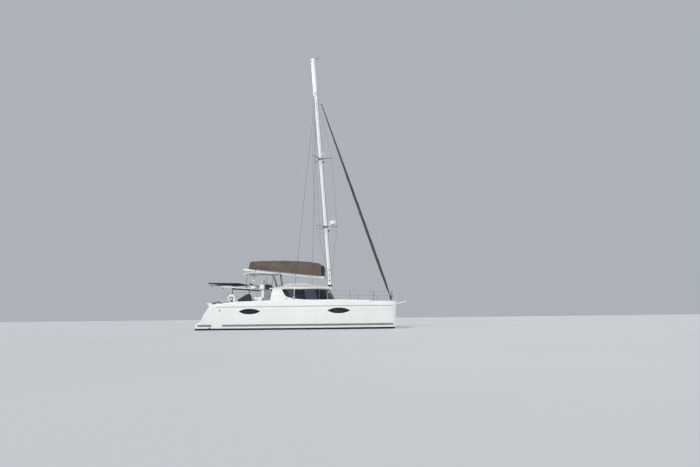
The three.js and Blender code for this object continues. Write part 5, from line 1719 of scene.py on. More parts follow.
def cover_ring(x):
    """The bag's section at x: open sides that bulge over the boom and pinch to a ridge"""
    ridge, low, high = (smooth(COVER, x, column) for column in (1, 2, 3))
    foot = boom_z(x) + BOOM_HALF[1] + 0.006
    height = max(ridge - foot, 0.04)
    profile = [
        (0, low), (0.08, low * 1.02), (0.35, low * 1.05), (0.8, high * 1.6), (0.95, high * 1.1),
        (1, high * 0.2),
    ]
    pleat = abs(sin(pi * (x + 3.7) / 0.86))
    ring = []
    for i in range(2 * COVER_POINTS):
        t = i / COVER_POINTS
        side, share = (-1, t) if t <= 1 else (1, 2 - t)
        y = smooth(profile, share, 1)
        fold = 0.010 * sin(5.1 * x + 9 * share * height) + 0.008 * sin(13 * x - 7 * share) * (1 - share)
        sag = 0.014 * sin(pi * share) * pleat
        y = max(y + (fold + sag) * min(1, share * 6, (1 - share) * 5) * min(1, low / 0.12), 0.004)
        ring.append((x, side * y, foot + share * height - 0.02 * pleat ** 2 * share))
    return ring


def cover_spot(x, side, k):
    """The k-th point of the bag's section from its foot on one side"""
    return Vector(cover_ring(x)[k if side < 0 else -k])


def make_sail_cover():
    places = [-3.80, -3.79, -3.77, -3.74, *steps(-3.7, 1.36, 110), 1.40, 1.43, 1.46, 1.48, 1.495]
    bag = Shape().loft([cover_ring(x) for x in places])
    cover = bag.piece("mainsail_bag", "boom", "taupe", "taupe_canvas", "sail_cover", 60)


def make_cover_trim():
    """A light seam below the ridge on each side, the ridge's dark zip and the straps under the boom"""
    trims = Shape()
    for side in (-1, 1):
        line = [cover_spot(x, side, SHOULDER) + side * 0.006 * ACROSS for x in steps(-3.66, 1.34, 60)]
        trims.tube(line, 0.017, 8)
    trims.tube([(x, 0, cover_ring(x)[COVER_POINTS][2] + 0.004) for x in steps(-3.66, 1.36, 60)], 0.011, 8, 1)
    for x in steps(-3.3, 1.2, 6):
        low = boom_z(x) - BOOM_HALF[1] - 0.008
        for side in (-1, 1):
            spot = cover_spot(x, side, 2)
            strap = [(0, low), (side * 0.05, low + 0.02), (side * 0.068, boom_z(x)), (spot.y * 1.02, spot.z)]
            trims.tube([(x, y, z) for y, z in strap], 0.007, 6, 2)
    trims.piece("mainsail_bag_trim", "boom", ["taupe_light", "rubber", "strap"], "taupe_canvas")


def make_tack_bundle():
    """The slack tack of the sail with its lines, bunched before the bag"""
    bundle = Shape()
    for k in range(9):
        y, z = 0.05 * sin(2.3 * k), 3.68 + 0.075 * k
        loop = []
        for a in turns(17):
            x = 1.63 + 0.1 * cos(a) + 0.01 * sin(3 * a)
            loop.append((x, y + 0.035 * sin(a), z + 0.12 * sin(a + 0.6 * k)))
        bundle.tube(loop, 0.017, 7, k % 2, closed=True)
    rows = []
    for z in steps(3.66, 4.36, 14):
        x, wide = 1.58 - 0.05 * (z - 3.7), 0.055 * sin(pi * (z - 3.5)) + 0.012 * sin(31 * z)
        ring = []
        for a in turns(16):
            ring.append((x + 0.09 * cos(a), wide * sin(a) * (1 + 0.2 * sin(3 * a + 20 * z)), z))
        rows.append(ring)
    bundle.loft(rows, 2)
    bundle.piece("sail_tack_bundle", "boom", ["dark_rope", "strap", "navy_dark"])


def make_boom_lines():
    """The topping lift and lazy jacks. They start on the line of the boom's pin, so they swing with it"""
    lines = Shape()
    lines.rod((axis_x(LIFT_TOP_Z), 0, LIFT_TOP_Z), (-4.17, 0, boom_z(-4.17) + 0.05), 0.007, 6)
    for side in (-1, 1):
        split = Vector((JACK_SPLIT[0], side * JACK_SPLIT[1], JACK_SPLIT[2]))
        lines.rod((axis_x(JACK_TOP_Z), 0.03 * side, JACK_TOP_Z), split, 0.005, 6)
        lines.lathe([(0.01, -0.03), (0.016, 0), (0.01, 0.03)], split, sides=10)
        for x in (-2.15, 0.35):
            lines.rod(split, cover_spot(x, side, SHOULDER) + side * 0.01 * ACROSS, 0.005, 6)
    lines.piece("lazy_jacks", "boom", "rope")


# Columns: place of the foot on the roof and of the head on the boom
MAINSHEET, MAINSHEET_Y = {"port": (-1.46, -1.47), "starboard": (-1.62, -2.0)}, 0.55
BLOCK = [(0.02, -0.03), (0.055, -0.02), (0.06, 0), (0.055, 0.02), (0.02, 0.03)]
BLOCK_STRAP = [(0.015, -0.08), (0.024, -0.05), (0.024, 0.05), (0.015, 0.08)]


def make_mainsheet():
    """Two tackles from the roof's aft edge to the boom, freed from any body"""
    for name, side in SIDES.items():
        foot_x, head_x = MAINSHEET[name]
        foot = Vector((foot_x, side * MAINSHEET_Y, roof_z(foot_x, MAINSHEET_Y) + 0.16))
        head = Vector((head_x, 0, boom_z(head_x) - 0.17))
        along = (head - foot).normalized()
        tackle = Shape()
        for k in range(4):
            shift = Vector((0.035 * (k - 1.5), 0.012 * (k - 1.5), 0))
            points = []
            for t in steps(0.04, 0.96, 14):
                points.append(foot.lerp(head, t) + shift * (1 - 0.3 * t) + 0.01 * sin(9 * t + 2 * k) * AHEAD)
            tackle.tube(points, 0.013, 7, k % 2)
        for spot in (foot, head):
            tackle.lathe(BLOCK, spot, along.cross(AHEAD), 18, 2)
            tackle.lathe(BLOCK_STRAP, spot, along, 10, 2)
        piece = tackle.piece(f"mainsheet_{name}", "boat", ["dark_rope", "rope_grey", "rubber"])
        free(piece)
        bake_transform(piece)


def make_mainsheet_track():
    track = Shape()
    for name, side in SIDES.items():
        x, y = MAINSHEET[name][0], side * MAINSHEET_Y
        z = roof_z(x, y)
        track.rod((x, y, z - 0.01), (x, y, z + 0.1), 0.014)
        track.lathe([(0.06, -0.004), (0.06, 0.01), (0.025, 0.03)], (x, y, z))
    z = roof_z(-1.52, 0)
    track.block((-1.58, -0.75, z - 0.03), (-1.50, 0.75, z + 0.02), 0.008, 1)
    track.piece("mainsheet_track", "boat", ["steel", "rubber"], "stainless")
    bar = Shape()
    for y in (-0.02, 0.02):
        bar.tube([(x, y, boom_z(x) - 0.105) for x in steps(-2.08, -1.4, 5)], 0.016, 8)
    bar.piece("mainsheet_bar", "boom", "rubber")


def free(piece):
    """Lets go of the body that the piece rides on, so that it can join two"""
    piece.parent = None
    piece.matrix_world = Matrix.Identity(4)
    if "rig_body" in piece:
        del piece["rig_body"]


RADAR_X, RADAR_Z = 2.305, 7.30
RADAR_DOME = [
    (0.02, 0.0), (0.2, 0.0), (0.235, 0.012), (0.252, 0.045), (0.2545, 0.09), (0.2545, 0.19),
    (0.245, 0.225), (0.2, 0.262), (0.12, 0.277), (0.01, 0.28),
]


def make_radar():
    x, z = RADAR_X, RADAR_Z
    dome = Shape().lathe(RADAR_DOME, (x, 0, z), sides=56)
    dome.piece("radar_scanner", "boat", "plastic", "white_plastic", "radar_dome")
    bracket = Shape()
    for y in (-0.05, 0.05):
        arm = [
            (mast_x(z + 0.05) + 0.11, y, z + 0.04), (x - 0.2, y * 2, z - 0.014),
            (x + 0.17, y * 2, z - 0.014),
        ]
        bracket.tube(bent(arm, 0.05), 0.013)
        bracket.rod((mast_x(z - 0.3) + 0.12, y, z - 0.3), (x, y * 2, z - 0.02), 0.011)
    bracket.piece("radar_bracket", "boat", "spar", "spar")


make_mast()
make_mast_fittings()
make_mast_lights()
make_halyards()
make_spreaders()
make_stays()
make_furler()
make_headsail()
make_boom()
make_boom_fittings()
make_sail_cover()
make_cover_trim()
make_tack_bundle()
make_boom_lines()
make_mainsheet()
make_mainsheet_track()
make_radar()

# Under the water
FOIL_POINTS, FOIL_ROWS = 14, 9


def foil_ring(x, y, z, chord, thick):
    """A streamlined section with its nose at x, running aft"""
    ring = []
    for side, order in ((1, range(FOIL_POINTS, 0, -1)), (-1, range(FOIL_POINTS))):
        for k in order:
            t = (k / FOIL_POINTS) ** 1.6
            half = 5 * thick * (
                0.2969 * sqrt(t) - 0.126 * t - 0.3516 * t ** 2 + 0.2843 * t ** 3 - 0.1016 * t ** 4
            )
            ring.append((x - chord * t, y + side * half, z))
    return ring


def add_foil(shape, low, high, y):
    """Low and high are (nose, z, chord, thickness). The low end is rounded off"""
    rings = [foil_ring(low[0] - 0.06 * low[2], y, low[1], 0.86 * low[2], 0.5 * low[3])]
    for t in [0.02, *steps(0.06, 1, FOIL_ROWS)]:
        nose, z, chord, thick = (mix(a, b, t) for a, b in zip(low, high))
        rings.append(foil_ring(nose, y, z, chord, thick))
    shape.loft(rings)


HUB_X, BLADE_TIP, BLADE_PITCH, SHAFT_Z = -4.516, 0.213, 0.30, -0.86
HUB = [(0.046, 0.001), (0.05, 0.012), (0.05, 0.09), (0.045, 0.13), (0.03, 0.16), (0.01, 0.169)]
DRIVE_SHELL = [
    (0.004, 0), (0.022, 0.012), (0.036, 0.05), (0.045, 0.14), (0.054, 0.3), (0.06, 0.44), (0.06, 0.46),
]
DRIVE_PLATE = [(-4.28, -0.07), (-4.60, -0.085), (-4.66, -0.03), (-4.66, 0.03), (-4.60, 0.085), (-4.28, 0.07)]


def blade_width(t):
    """Half the blade's breadth, a share of the way to its rounded tip"""
    wide = 0.085 * sqrt(max(1 - (1.55 * t - 0.7) ** 2 / 0.78, 0.01))
    return wide if t < 0.9 else wide * max(1 - ((t - 0.9) / 0.1) ** 2, 0.12)


def make_propeller(name, y):
    prop = Shape().lathe(HUB, (HUB_X, y, SHAFT_Z), (-1, 0, 0), 32)
    middle, hand = Vector((HUB_X - 0.075, y, SHAFT_Z)), 1 if y > 0 else -1
    for blade_angle in turns(3):
        turn = Matrix.Rotation(blade_angle, 3, "X")
        rows = []
        for t in [*steps(0, 0.9, 12), 0.95, 0.985, 1]:
            radius = mix(0.035, BLADE_TIP, t)
            pitch = atan2(BLADE_PITCH, 2 * pi * radius) * hand
            ring = []
            for a in turns(18):
                u, w = blade_width(t) * cos(a), mix(0.007, 0.0018, t) * sin(a)
                along, around = u * sin(pitch) + w * cos(pitch), (u * cos(pitch) - w * sin(pitch)) / radius
                ring.append(turn @ Vector((along, radius * sin(around), radius * cos(around))) + middle)
            rows.append(ring)
        prop.loft(rows)
    prop.piece(f"bronze_{name}", name, "bronze", "bronze", name)


def make_underwater(name, side):
    y = side * HULL_Y
    keel = Shape()
    add_foil(keel, (0.45, -1.18, 1.90, 0.24), (0.83, -0.22, 2.56, 0.33), y)
    keel.piece(f"keel_{name}_fairing", "boat", "antifouling", "antifouling", f"keel_{name}")
    drive = Shape()
    add_foil(drive, (-4.12, -0.86, 0.26, 0.08), (-4.075, -0.2, 0.34, 0.112), y)
    drive.lathe(DRIVE_SHELL, (-4.05, y, SHAFT_Z), (-1, 0, 0), 32)
    drive.slab([(px, y + py) for px, py in DRIVE_PLATE], -0.632, -0.622, 0.004)
    drive.block((-4.46, y - 0.03, -0.30), (-4.02, y + 0.03, -0.22), 0.02, 1)
    drive.piece(f"drive_leg_{name}", "boat", ["drive", "rubber"], "drive", f"saildrive_{name}")
    blade, rudder = Shape(), f"rudder_{name}"
    add_foil(blade, (-5.44, -1.06, 0.36, 0.046), (-5.40, -0.33, 0.47, 0.07), y)
    blade.rod((-5.55, y, -0.9), (-5.55, y, 0.1), 0.03, 20, 1)
    blade.piece(f"{rudder}_blade", rudder, ["antifouling", "steel"], "antifouling", rudder)
    make_propeller(f"propeller_{name}", y)


# Lids
LID_LOOKS = ["gelcoat", "deck", "steel"]
HINGE_X, HINGE_Z = -4.075, 1.736


def make_engine_lid(name, side):
    (x0, x1), middle, rim = BAY_X, side * HULL_Y, HATCH_RIM
    low_y, high_y = middle - BAY_Y - rim, middle + BAY_Y + rim
    lid = Shape().slab(rounded_oblong(x0 - rim, x1 + rim, low_y, high_y, 0.03), -HATCH_THICK, 0, 0.006)
    inner = rounded_oblong(x0 + 0.03, x1 - 0.03, middle - 0.31, middle + 0.31, 0.06)
    lid.slab(inner, -0.001, 0.004, 0.002, 1, 1)
    catch = [(0.032, -0.002), (0.032, 0.006), (0.02, 0.008), (0.004, 0.004)]
    lid.lathe(catch, (x0 + 0.01, middle, 0), kind=2)
    lay_on_deck(lid)
    for y in (middle - 0.25, middle + 0.25):
        lid.rod((HINGE_X, y - 0.05, HINGE_Z), (HINGE_X, y + 0.05, HINGE_Z), 0.007, 10, 2)
        leaf = (HINGE_X - 0.05, y - 0.04, HINGE_Z - 0.005), (HINGE_X, y + 0.04, HINGE_Z - 0.001)
        lid.block(*leaf, 0.001, 2, 1)
    lid.piece(f"engine_lid_{name}", f"engine_hatch_{name}", LID_LOOKS, "gelcoat", f"engine_hatch_{name}")


def make_locker_lid(name):
    low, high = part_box(f"locker_lid_{name}")
    cover = Shape().slab(rounded_oblong(low.x, high.x, low.y, high.y, 0.03), low.z, high.z, 0.006)
    inner = rounded_oblong(low.x + 0.07, high.x - 0.07, low.y + 0.07, high.y - 0.07, 0.05)
    cover.slab(inner, high.z - 0.001, high.z + 0.004, 0.002, 1, 1)
    for share in (0.3, 0.7):
        spot = (high.x - 0.035, mix(low.y, high.y, share), high.z)
        cover.lathe([(0.026, -0.002), (0.026, 0.005), (0.016, 0.007), (0.004, 0.003)], spot, kind=2)
    cover.piece(f"locker_hatch_{name}", f"locker_lid_{name}", LID_LOOKS, "gelcoat", f"locker_lid_{name}")


# Bow
NET_X, NET_Z, NET_INNER = (3.96, 6.16), 1.567, 0.082
NET_STEP, NET_CORD = 0.045, 0.0028


def net_outer(x):
    return HULL_Y - smooth(HULL, x, INN) - 0.012


def net_z(x, y):
    u = (x - NET_X[0]) / (NET_X[1] - NET_X[0])
    v = (y - NET_INNER) / (net_outer(x) - NET_INNER)
    return NET_Z - 0.045 * max(sin(pi * u) * sin(pi * min(max(v, 0), 1)), 0)


def make_net(name, side):
    """Crossing cords, three turns of webbing round the edge, and lacing to the hull and beams"""
    cords = Shape()
    x0, x1, border = NET_X[0] + 0.05, NET_X[1] - 0.05, 0.05
    inner = NET_INNER + border
    for x in steps(x0, x1, int((x1 - x0) / NET_STEP)):
        cords.tube([(x, side * y, net_z(x, y)) for y in steps(inner, net_outer(x) - border, 20)], NET_CORD, 4)
    widest = max(net_outer(x) for x in steps(x0, x1, 12)) - border
    for y in steps(inner, widest, int((widest - NET_INNER) / NET_STEP)):
        places = [x for x in steps(x0, x1, 26) if y < net_outer(x) - border + 0.01]
        if len(places) > 1:
            cords.tube([(x, side * y, net_z(x, y) + 2 * NET_CORD) for x in places], NET_CORD, 4)
    edge = [(x, inner) for x in steps(x0, x1, 14)]
    edge += [(x, net_outer(x) - border) for x in steps(x1, x0, 14)]
    ring = [Vector((x, side * y, net_z(x, y) + NET_CORD)) for x, y in edge]
    middle = Vector((5.0, side * 1.0, NET_Z))
    for shift in (-0.014, 0, 0.014):
        cords.tube([p + (middle - p).normalized() * shift for p in ring], 0.008, 6, 1, closed=True)
    for x in steps(x0 + 0.05, x1 - 0.05, 22):
        for y, out in ((inner, -border), (net_outer(x) - border, border - 0.006)):
            cords.rod((x, side * y, net_z(x, y)), (x + 0.03, side * (y + out), NET_Z - 0.01), 0.003, 4, 2)
    for y in steps(NET_INNER + 0.12, net_outer(x1) - 0.1, 18):
        end = side * (y + 0.02)
        cords.rod((x1, side * y, net_z(x1, y)), (x1 + 0.06, end, NET_Z - 0.06), 0.003, 4, 2)
        cords.rod((x0, side * y, net_z(x0, y)), (x0 - 0.055, end, NET_Z), 0.003, 4, 2)
    cords.piece(f"bow_net_{name}", "boat", ["net", "strap", "rope"], "netting", f"trampoline_{name}")


def make_beam():
    low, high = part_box("crossbeam")
    x, z, radius = (low.x + high.x) / 2, (low.z + high.z) / 2, (high.x - low.x) / 2
    rows = []
    for y in [low.y, low.y + 0.01, *steps(low.y + 0.1, high.y - 0.1, 14), high.y - 0.01, high.y]:
        rows.append([(x + radius * cos(a), y, z + radius * sin(a)) for a in turns(36)])
    beam = Shape().loft(rows)
    cap = [(0.1, 0.0), (0.104, 0.012), (0.104, 0.09), (0.085, 0.1)]
    for side, end in ((1, high.y), (-1, low.y)):
        beam.lathe(cap, (x, end - side * 0.1, z), (0, side, 0), 36, 1)
        for y in (0.5, 1.3):
            eye = staple((x, side * y, z + 0.07), (x, side * (y + 0.1), z + 0.07), 0.05 * UP, 0.03)
            beam.tube(eye, 0.006, 8, 2)
    beam.piece("forward_beam", "boat", ["spar", "rubber", "steel"], "spar", "crossbeam")


def make_sprit():
    """The middle beam and the bowsprit with its stays"""
    sprit = Shape()
    half = [(3.951, 0.072), (6.5, 0.072), (6.555, 0.045)]
    sprit.slab(mirrored(half, -1) + half[::-1], 1.487, 1.6, 0.02)
    spar = [(6.45, 0, 1.5375), (6.9, 0, 1.65), (7.40, 0, 1.775), (7.43, 0, 1.7825)]
    sprit.tube(spar, [0.045, 0.042, 0.038, 0.03], 24)
    end_cap = [(0.025, -0.02), (0.045, -0.015), (0.046, 0.02), (0.025, 0.025)]
    sprit.lathe(end_cap, spar[2], (1, 0, 0.25), 20, 1)
    sprit.rod((7.36, 0, 1.735), (6.62, 0, 1.512), 0.014, 10, 1)
    for side in SIDES.values():
        sprit.rod((7.35, side * 0.02, 1.76), (6.30, side * 2.42, 1.47), 0.006, 8, 1)
        sprit.rod((6.5, side * 0.05, 1.63), (6.62, side * 0.05, 1.63), 0.035, 16, 2)
    sprit.piece("bow_sprit", "boat", ["spar", "steel", "rubber"], "spar", "bowsprit")


def make_windlass():
    z = CABIN_BASE
    gear = Shape().block((3.60, -0.16, z - 0.01), (3.92, 0.16, z + 0.05), 0.02)
    drum = [(0.085, 0), (0.09, 0.02), (0.055, 0.04), (0.05, 0.1), (0.075, 0.13), (0.078, 0.15), (0.03, 0.16)]
    gear.lathe(drum, (3.78, 0.02, z + 0.045), kind=1)
    gear.block((3.62, -0.1, z + 0.04), (3.74, 0.09, z + 0.13), 0.03, 1)
    for side in SIDES.values():
        cleat(gear, 3.7, side * 0.3, z - 0.002, 0.3, 1)
        y = side * HULL_Y
        gear.block((5.5, y - 0.05, deck_z(5.5) - 0.01), (5.72, y + 0.05, deck_z(5.6) + 0.015), 0.008)
    gear.piece("windlass", "boat", ["rubber", "steel"], "stainless")


def make_foredeck_panels():
    pads = Shape()
    for side in SIDES.values():
        for outline in (
            [(2.55, 0.12), (3.2, 0.12), (3.2, 1.45), (2.75, 1.45)],
            [(2.0, 1.95), (3.85, 1.45), (3.85, 1.68), (2.0, 2.2)],
        ):
            pads.slab(mirrored(outline, side), CABIN_BASE - 0.001, CABIN_BASE + 0.005, 0.002, segments=1)
    pads.piece("foredeck_panels", "boat", "deck", "deck")


STANCHIONS = [5.25, 3.79, 1.85, -0.25, -2.15, -4.05]
RAIL_INSET, RAIL_TOP, RAIL_LINES = 0.06, 0.62, (0.32, 0.60)
PULPIT_X, PULPIT_TOP = 6.37, 0.60


def rail_y(x):
    return edge_y(x, RAIL_INSET)


def make_guardrail(name, side):
    rail = Shape()
    for x in STANCHIONS:
        y, z = side * rail_y(x), deck_z(x)
        rail.tube([(x, y, z), (x, y, z + RAIL_TOP - 0.01), (x, y, z + RAIL_TOP)], [0.0115, 0.0115, 0.009], 12)
        rail.lathe([(0.035, 0.0), (0.035, 0.006), (0.019, 0.014), (0.018, 0.075), (0.013, 0.08)], (x, y, z))
        for height in RAIL_LINES:
            rail.rod((x - 0.02, y, z + height), (x + 0.02, y, z + height), 0.007, 8)
    base_z = deck_z(PULPIT_X)
    for height in RAIL_LINES:
        stops = [Vector((x, side * rail_y(x), deck_z(x) + height)) for x in reversed(STANCHIONS)]
        stops.append(Vector((PULPIT_X + 0.03, side * (HULL_Y + 0.12), base_z + height * 0.98)))
        for a, b in zip(stops, stops[1:]):
            rail.tube([a.lerp(b, t) - 0.006 * sin(pi * t) * UP for t in steps(0, 1, 9)], 0.0032, 6, 1)
            along = (b - a).normalized()
            rail.rod(a + along * 0.03, a + along * 0.12, 0.006, 8)

    def at(reach, out, height):
        return (PULPIT_X + reach, side * (HULL_Y + out), base_z + height)

    hoop = [at(-0.02, 0.06, 0), at(0.03, 0.14, PULPIT_TOP), at(0.05, -0.18, PULPIT_TOP), at(-0.02, -0.06, 0)]
    rail.tube(bent(hoop, 0.07, 8), 0.0125, 12)
    rail.rod(at(0.01, 0.1, 0.3), at(0.015, -0.12, 0.3), 0.0105)
    for out in (0.06, -0.06):
        rail.lathe([(0.032, 0), (0.032, 0.006), (0.017, 0.02)], at(-0.02, out, 0))
    light = [(0.02, -0.02), (0.028, -0.01), (0.028, 0.03), (0.015, 0.04)]
    rail.lathe(light, at(0.045, 0, PULPIT_TOP + 0.02), kind=2)
    lamp = "green" if side < 0 else "red"
    rail.piece(f"lifelines_{name}", "boat", ["dull_steel", "wire", lamp], "stainless", f"guardrail_{name}")


# Stern
DAVIT_Y, DAVIT_R = 1.15, 0.028
PANEL_AFT, PANEL_FORE, PANEL_THICK, PANEL_HALF = (-6.33, 3.18), (-4.10, 3.115), 0.036, 1.2


def panel_z(x):
    return mix(PANEL_AFT[1], PANEL_FORE[1], (x - PANEL_AFT[0]) / (PANEL_FORE[0] - PANEL_AFT[0]))


def make_davits():
    arms = Shape()
    for y in (DAVIT_Y, -DAVIT_Y):
        tip = (-6.32, y, 3.098)
        line = [(-4.20, y, hardtop_top(-4.2) + 0.04), (-5.20, y, hardtop_top(-5.2) + 0.045), tip]
        arms.tube(bent(line, 0.25, 10), DAVIT_R, 20)
        arms.lathe([(0.028, 0), (0.03, 0.006), (0.02, 0.02)], tip, (-1, 0, 0.1), 20, 1)
        for x in (-4.30, -4.98):
            top = hardtop_top(x) - 0.012
            arms.block((x - 0.06, y - 0.05, top - 0.006), (x + 0.06, y + 0.05, top + 0.012), 0.004, 0, 2)
            arms.block((x - 0.025, y - 0.018, top), (x + 0.025, y + 0.018, top + 0.045), 0.006, 0, 2)
        arms.tube(staple((-6.1, y, 3.06), (-6.05, y, 3.06), (0, 0, -0.06), 0.02), 0.007, 8)
        roller = [(0.012, -0.02), (0.04, -0.014), (0.04, 0.014), (0.012, 0.02)]
        arms.lathe(roller, (-6.075, y, 2.965), ACROSS, 20, 1)
    for x, z in ((-5.15, hardtop_top(-5.15) + 0.045), (-6.26, mix(2.975, 3.098, ease(-5.1, -6.3, -6.26)))):
        arms.rod((x, -DAVIT_Y, z), (x, DAVIT_Y, z), 0.022, 16)
    arms.piece("davit_arms", "boat", ["dull_steel", "rubber"], "stainless", "davits")


def on_panel(u, v, w):
    return u, v, panel_z(u) + w


def add_one_panel(panel, x0, x1, y0, y1):
    """A framed panel with its junction box below"""
    top, bar, lap = PANEL_THICK, 0.035, 0.03
    for outline in (
        (x0, x0 + bar, y0, y1), (x1 - bar, x1, y0, y1),
        (x0 + bar, x1 - bar, y0, y0 + bar), (x0 + bar, x1 - bar, y1 - bar, y1),
    ):
        panel.slab(oblong(*outline), 0, top, 0.003, 1, 1, on_panel)
    cells = oblong(x0 + lap, x1 - lap, y0 + lap, y1 - lap)
    panel.slab(cells, top - 0.012, top - 0.003, 0, 0, 1, on_panel)
    z = panel_z(mix(x0, x1, 0.5))
    low = (mix(x0, x1, 0.45), mix(y0, y1, 0.45), z - 0.005)
    high = (mix(x0, x1, 0.6), mix(y0, y1, 0.55), z + top - 0.013)
    panel.block(low, high, 0.004, 1, 1)


def make_solar_panel():
    """Four framed panels on two rails and eight legs"""
    panel = Shape()
    aft, fore, gap, leg_y = PANEL_AFT[0], PANEL_FORE[0], 0.006, DAVIT_Y - 0.08
    middle = mix(aft, fore, 0.5)
    for x0, x1 in ((aft, middle), (middle, fore)):
        for y0, y1 in ((-PANEL_HALF, 0), (0, PANEL_HALF)):
            add_one_panel(panel, x0 + gap, x1 - gap, y0 + gap, y1 - gap)
    for y in (-leg_y, leg_y):
        panel.slab(oblong(aft + 0.02, fore - 0.02, y - 0.02, y + 0.02), -0.03, 0.002, 0.004, 1, 1, on_panel)
    for x in (-4.25, -4.9, -5.5, -6.2):
        on_roof = x > -5.2
        foot = hardtop_top(x) - 0.02 if on_roof else mix(2.985, 3.09, (x + 5.2) / -1.1) + 0.01
        for side in SIDES.values():
            y = side * leg_y
            foot_y = y + side * (0 if on_roof else 0.05)
            panel.rod((x, foot_y, foot), (x, y, panel_z(x) - 0.005), 0.012, 10, 2)
    panel.piece("solar_array", "boat", ["solar", "dark_blue", "dull_steel"], "solar", "solar_panel")


BUOY_CENTRE, BUOY_R, BUOY_TUBE, BUOY_MOUTH = Vector((-3.93, -3.33, 2.01)), 0.2, 0.084, 34


def buoy_ring(a, size, count):
    """A section of the buoy, the angle a round its middle"""
    out = Vector((cos(a), 0, sin(a)))
    return [BUOY_CENTRE + out * BUOY_R + (out * cos(b) + 0.92 * sin(b) * ACROSS) * size for b in turns(count)]


def make_buoy():
    places = steps(radians(-90 + BUOY_MOUTH), radians(270 - BUOY_MOUTH), 46)
    rings = []
    for k, a in enumerate(places):
        end = min(k, len(places) - 1 - k)
        size = BUOY_TUBE * min(1, 0.55 + 0.16 * end) * (1 - 0.035 * (k % 9 == 4))
        rings.append(buoy_ring(a, size, 20))
    buoy = Shape().loft(rings)
    piece = buoy.piece("rescue_horseshoe", "boat", "buoy_cloth", "buoy", "horseshoe_buoy", 60)


def make_buoy_holder():
    """Three straps round the buoy, its two hooks, and the lamp that stands between its ends"""
    trims = Shape()
    for a in (35, 90, 145):
        trims.tube(buoy_ring(radians(a), BUOY_TUBE + 0.002, 24), 0.005, 6, closed=True)
    foot_z = deck_z(BUOY_CENTRE.x)
    for x in (BUOY_CENTRE.x - 0.12, BUOY_CENTRE.x + 0.12):
        hook = ((0, 0), (0.08, 0.02), (0.08, 0.24), (0.02, 0.24))
        trims.tube(bent([(x, BUOY_CENTRE.y + y, foot_z + z) for y, z in hook], 0.03), 0.007, 8, 1)
    foot = Vector((BUOY_CENTRE.x, BUOY_CENTRE.y + 0.02, foot_z))
    trims.tube([foot + z * UP for z in (0.0, 0.02, 0.16, 0.19)], [0.045, 0.05, 0.05, 0.03], 16, 2)
    trims.lathe([(0.03, 0), (0.034, 0.02), (0.03, 0.06), (0.008, 0.075)], foot + 0.19 * UP, kind=3)
    trims.piece("horseshoe_holder", "boat", ["rope_grey", "dull_steel", "brown_rope", "plastic"], "stainless")


LOCKER_Y = -2.9
# Columns: place, half breadth, height
LOCKER = [
    (-3.6, 0.17, 0.17), (-3.4, 0.27, 0.27), (-2.93, 0.3, 0.51), (-2.8, 0.29, 0.455), (-2.765, 0.24, 0.27),
]


def make_locker_cover():
    """A thin canvas draped over a hump, open below"""
    rows = []
    for x in [-3.6, -3.59, -3.57, *steps(-3.54, -2.82, 30), -2.80, -2.785, -2.765]:
        half, height = smooth(LOCKER, x, 1), smooth(LOCKER, x, 2)
        row = []
        for a in steps(0, pi, 31):
            side, up = cos(a), sin(a)
            fold = 0.012 * sin(7 * a + 9 * x) + 0.007 * sin(23 * x - 5 * a)
            hem = 0.006 * (1 - up) ** 2 * sin(31 * x)
            y = half * copysign(abs(side) ** 0.75, side) + 0.4 * fold * side + hem
            row.append((x, LOCKER_Y + y, deck_z(x) + 0.004 + height * up ** 0.85 + fold * up))
        rows.append(row)
    ends = []
    for row in (rows[0], rows[-1]):
        ends.append([(x, mix(y, LOCKER_Y, 0.25), mix(z, deck_z(x), 0.88)) for x, y, z in row])
    cloth = Shape().skin([ends[0], *rows, ends[1]])
    piece = cloth.piece("locker_canvas", "boat", "navy", "navy_canvas", "locker_cover", 70)
    thicken(piece, 0.003)


def make_chocks():
    chocks = Shape()
    for side in SIDES.values():
        x, y, z = -5.03, side * (HULL_Y + 0.62), deck_z(-5.03)
        line = ((-0.11, 0.01), (-0.05, 0.08), (0.05, 0.08), (0.11, 0.01))
        chocks.tube(bent([(x + reach, y, z + rise) for reach, rise in line], 0.04), 0.019, 12)
    chocks.piece("stern_chocks", "boat", "steel", "stainless")


def make_aerial():
    x, y, z = -2.83, -2.1, hardtop_top(-2.83) - 0.03
    aerial = Shape().lathe([(0.04, 0), (0.04, 0.012), (0.02, 0.03)], (x, y, z))
    aerial.rod((x, y, z), (x, y, z + 0.5), 0.0135, 12)
    aerial.lathe([(0.03, 0), (0.085, 0.012), (0.09, 0.04), (0.07, 0.085), (0.03, 0.105)], (x, y, z + 0.49))
    aerial.piece("aerial", "boat", "plastic", "white_plastic")


# Columns: place, half breadth, height
DECK_BAGS = [(-5.02, 0.12, 0.14), (-4.79, 0.10, 0.165), (-4.57, 0.11, 0.085)]


def make_deck_bags():
    """Slack canvas bags on the side deck, wider at the foot and creased towards the top"""
    bags = Shape()
    y = -(HULL_Y + 0.69)
    for k, (x, half, height) in enumerate(DECK_BAGS):
        rows = []
        for up in steps(0, 1, 17):
            reach = half * (0.93 + 0.07 * sin(2.6 * up)) * (1 - 0.5 * ease(0.6, 1, up) ** 2)
            slump = Vector((0.02 * up * sin(2 + k), -0.012 * up))
            outline = rounded_oblong(-reach, reach, -0.8 * reach, 0.8 * reach, 0.4 * reach, 8)
            ring = []
            for j, (px, py) in enumerate(outline):
                crease = 1 + up * (0.05 * sin(1.2 * j + 7 * up + k) + 0.04 * sin(0.6 * j - 5 * up))
                top = deck_z(x) + 0.002 + height * up + 0.012 * up * sin(0.4 * j + 2 * k)
                ring.append((x + px * crease + slump.x, y + py * crease + slump.y, top))
            rows.append(ring)
        bags.loft(rows, k % 3)
    piece = bags.piece("deck_bags", "boat", ["brown_rope", "dark_rope", "red_rope"], "cushion", (), 60)


CURTAIN_Y, CURTAIN_DROP, TIE_GAP = -2.06, 0.05, 0.45
SCREEN_X, SCREEN_Y, SCREEN_Z = (-2.02, -1.60), -2.28, (1.95, 2.52)


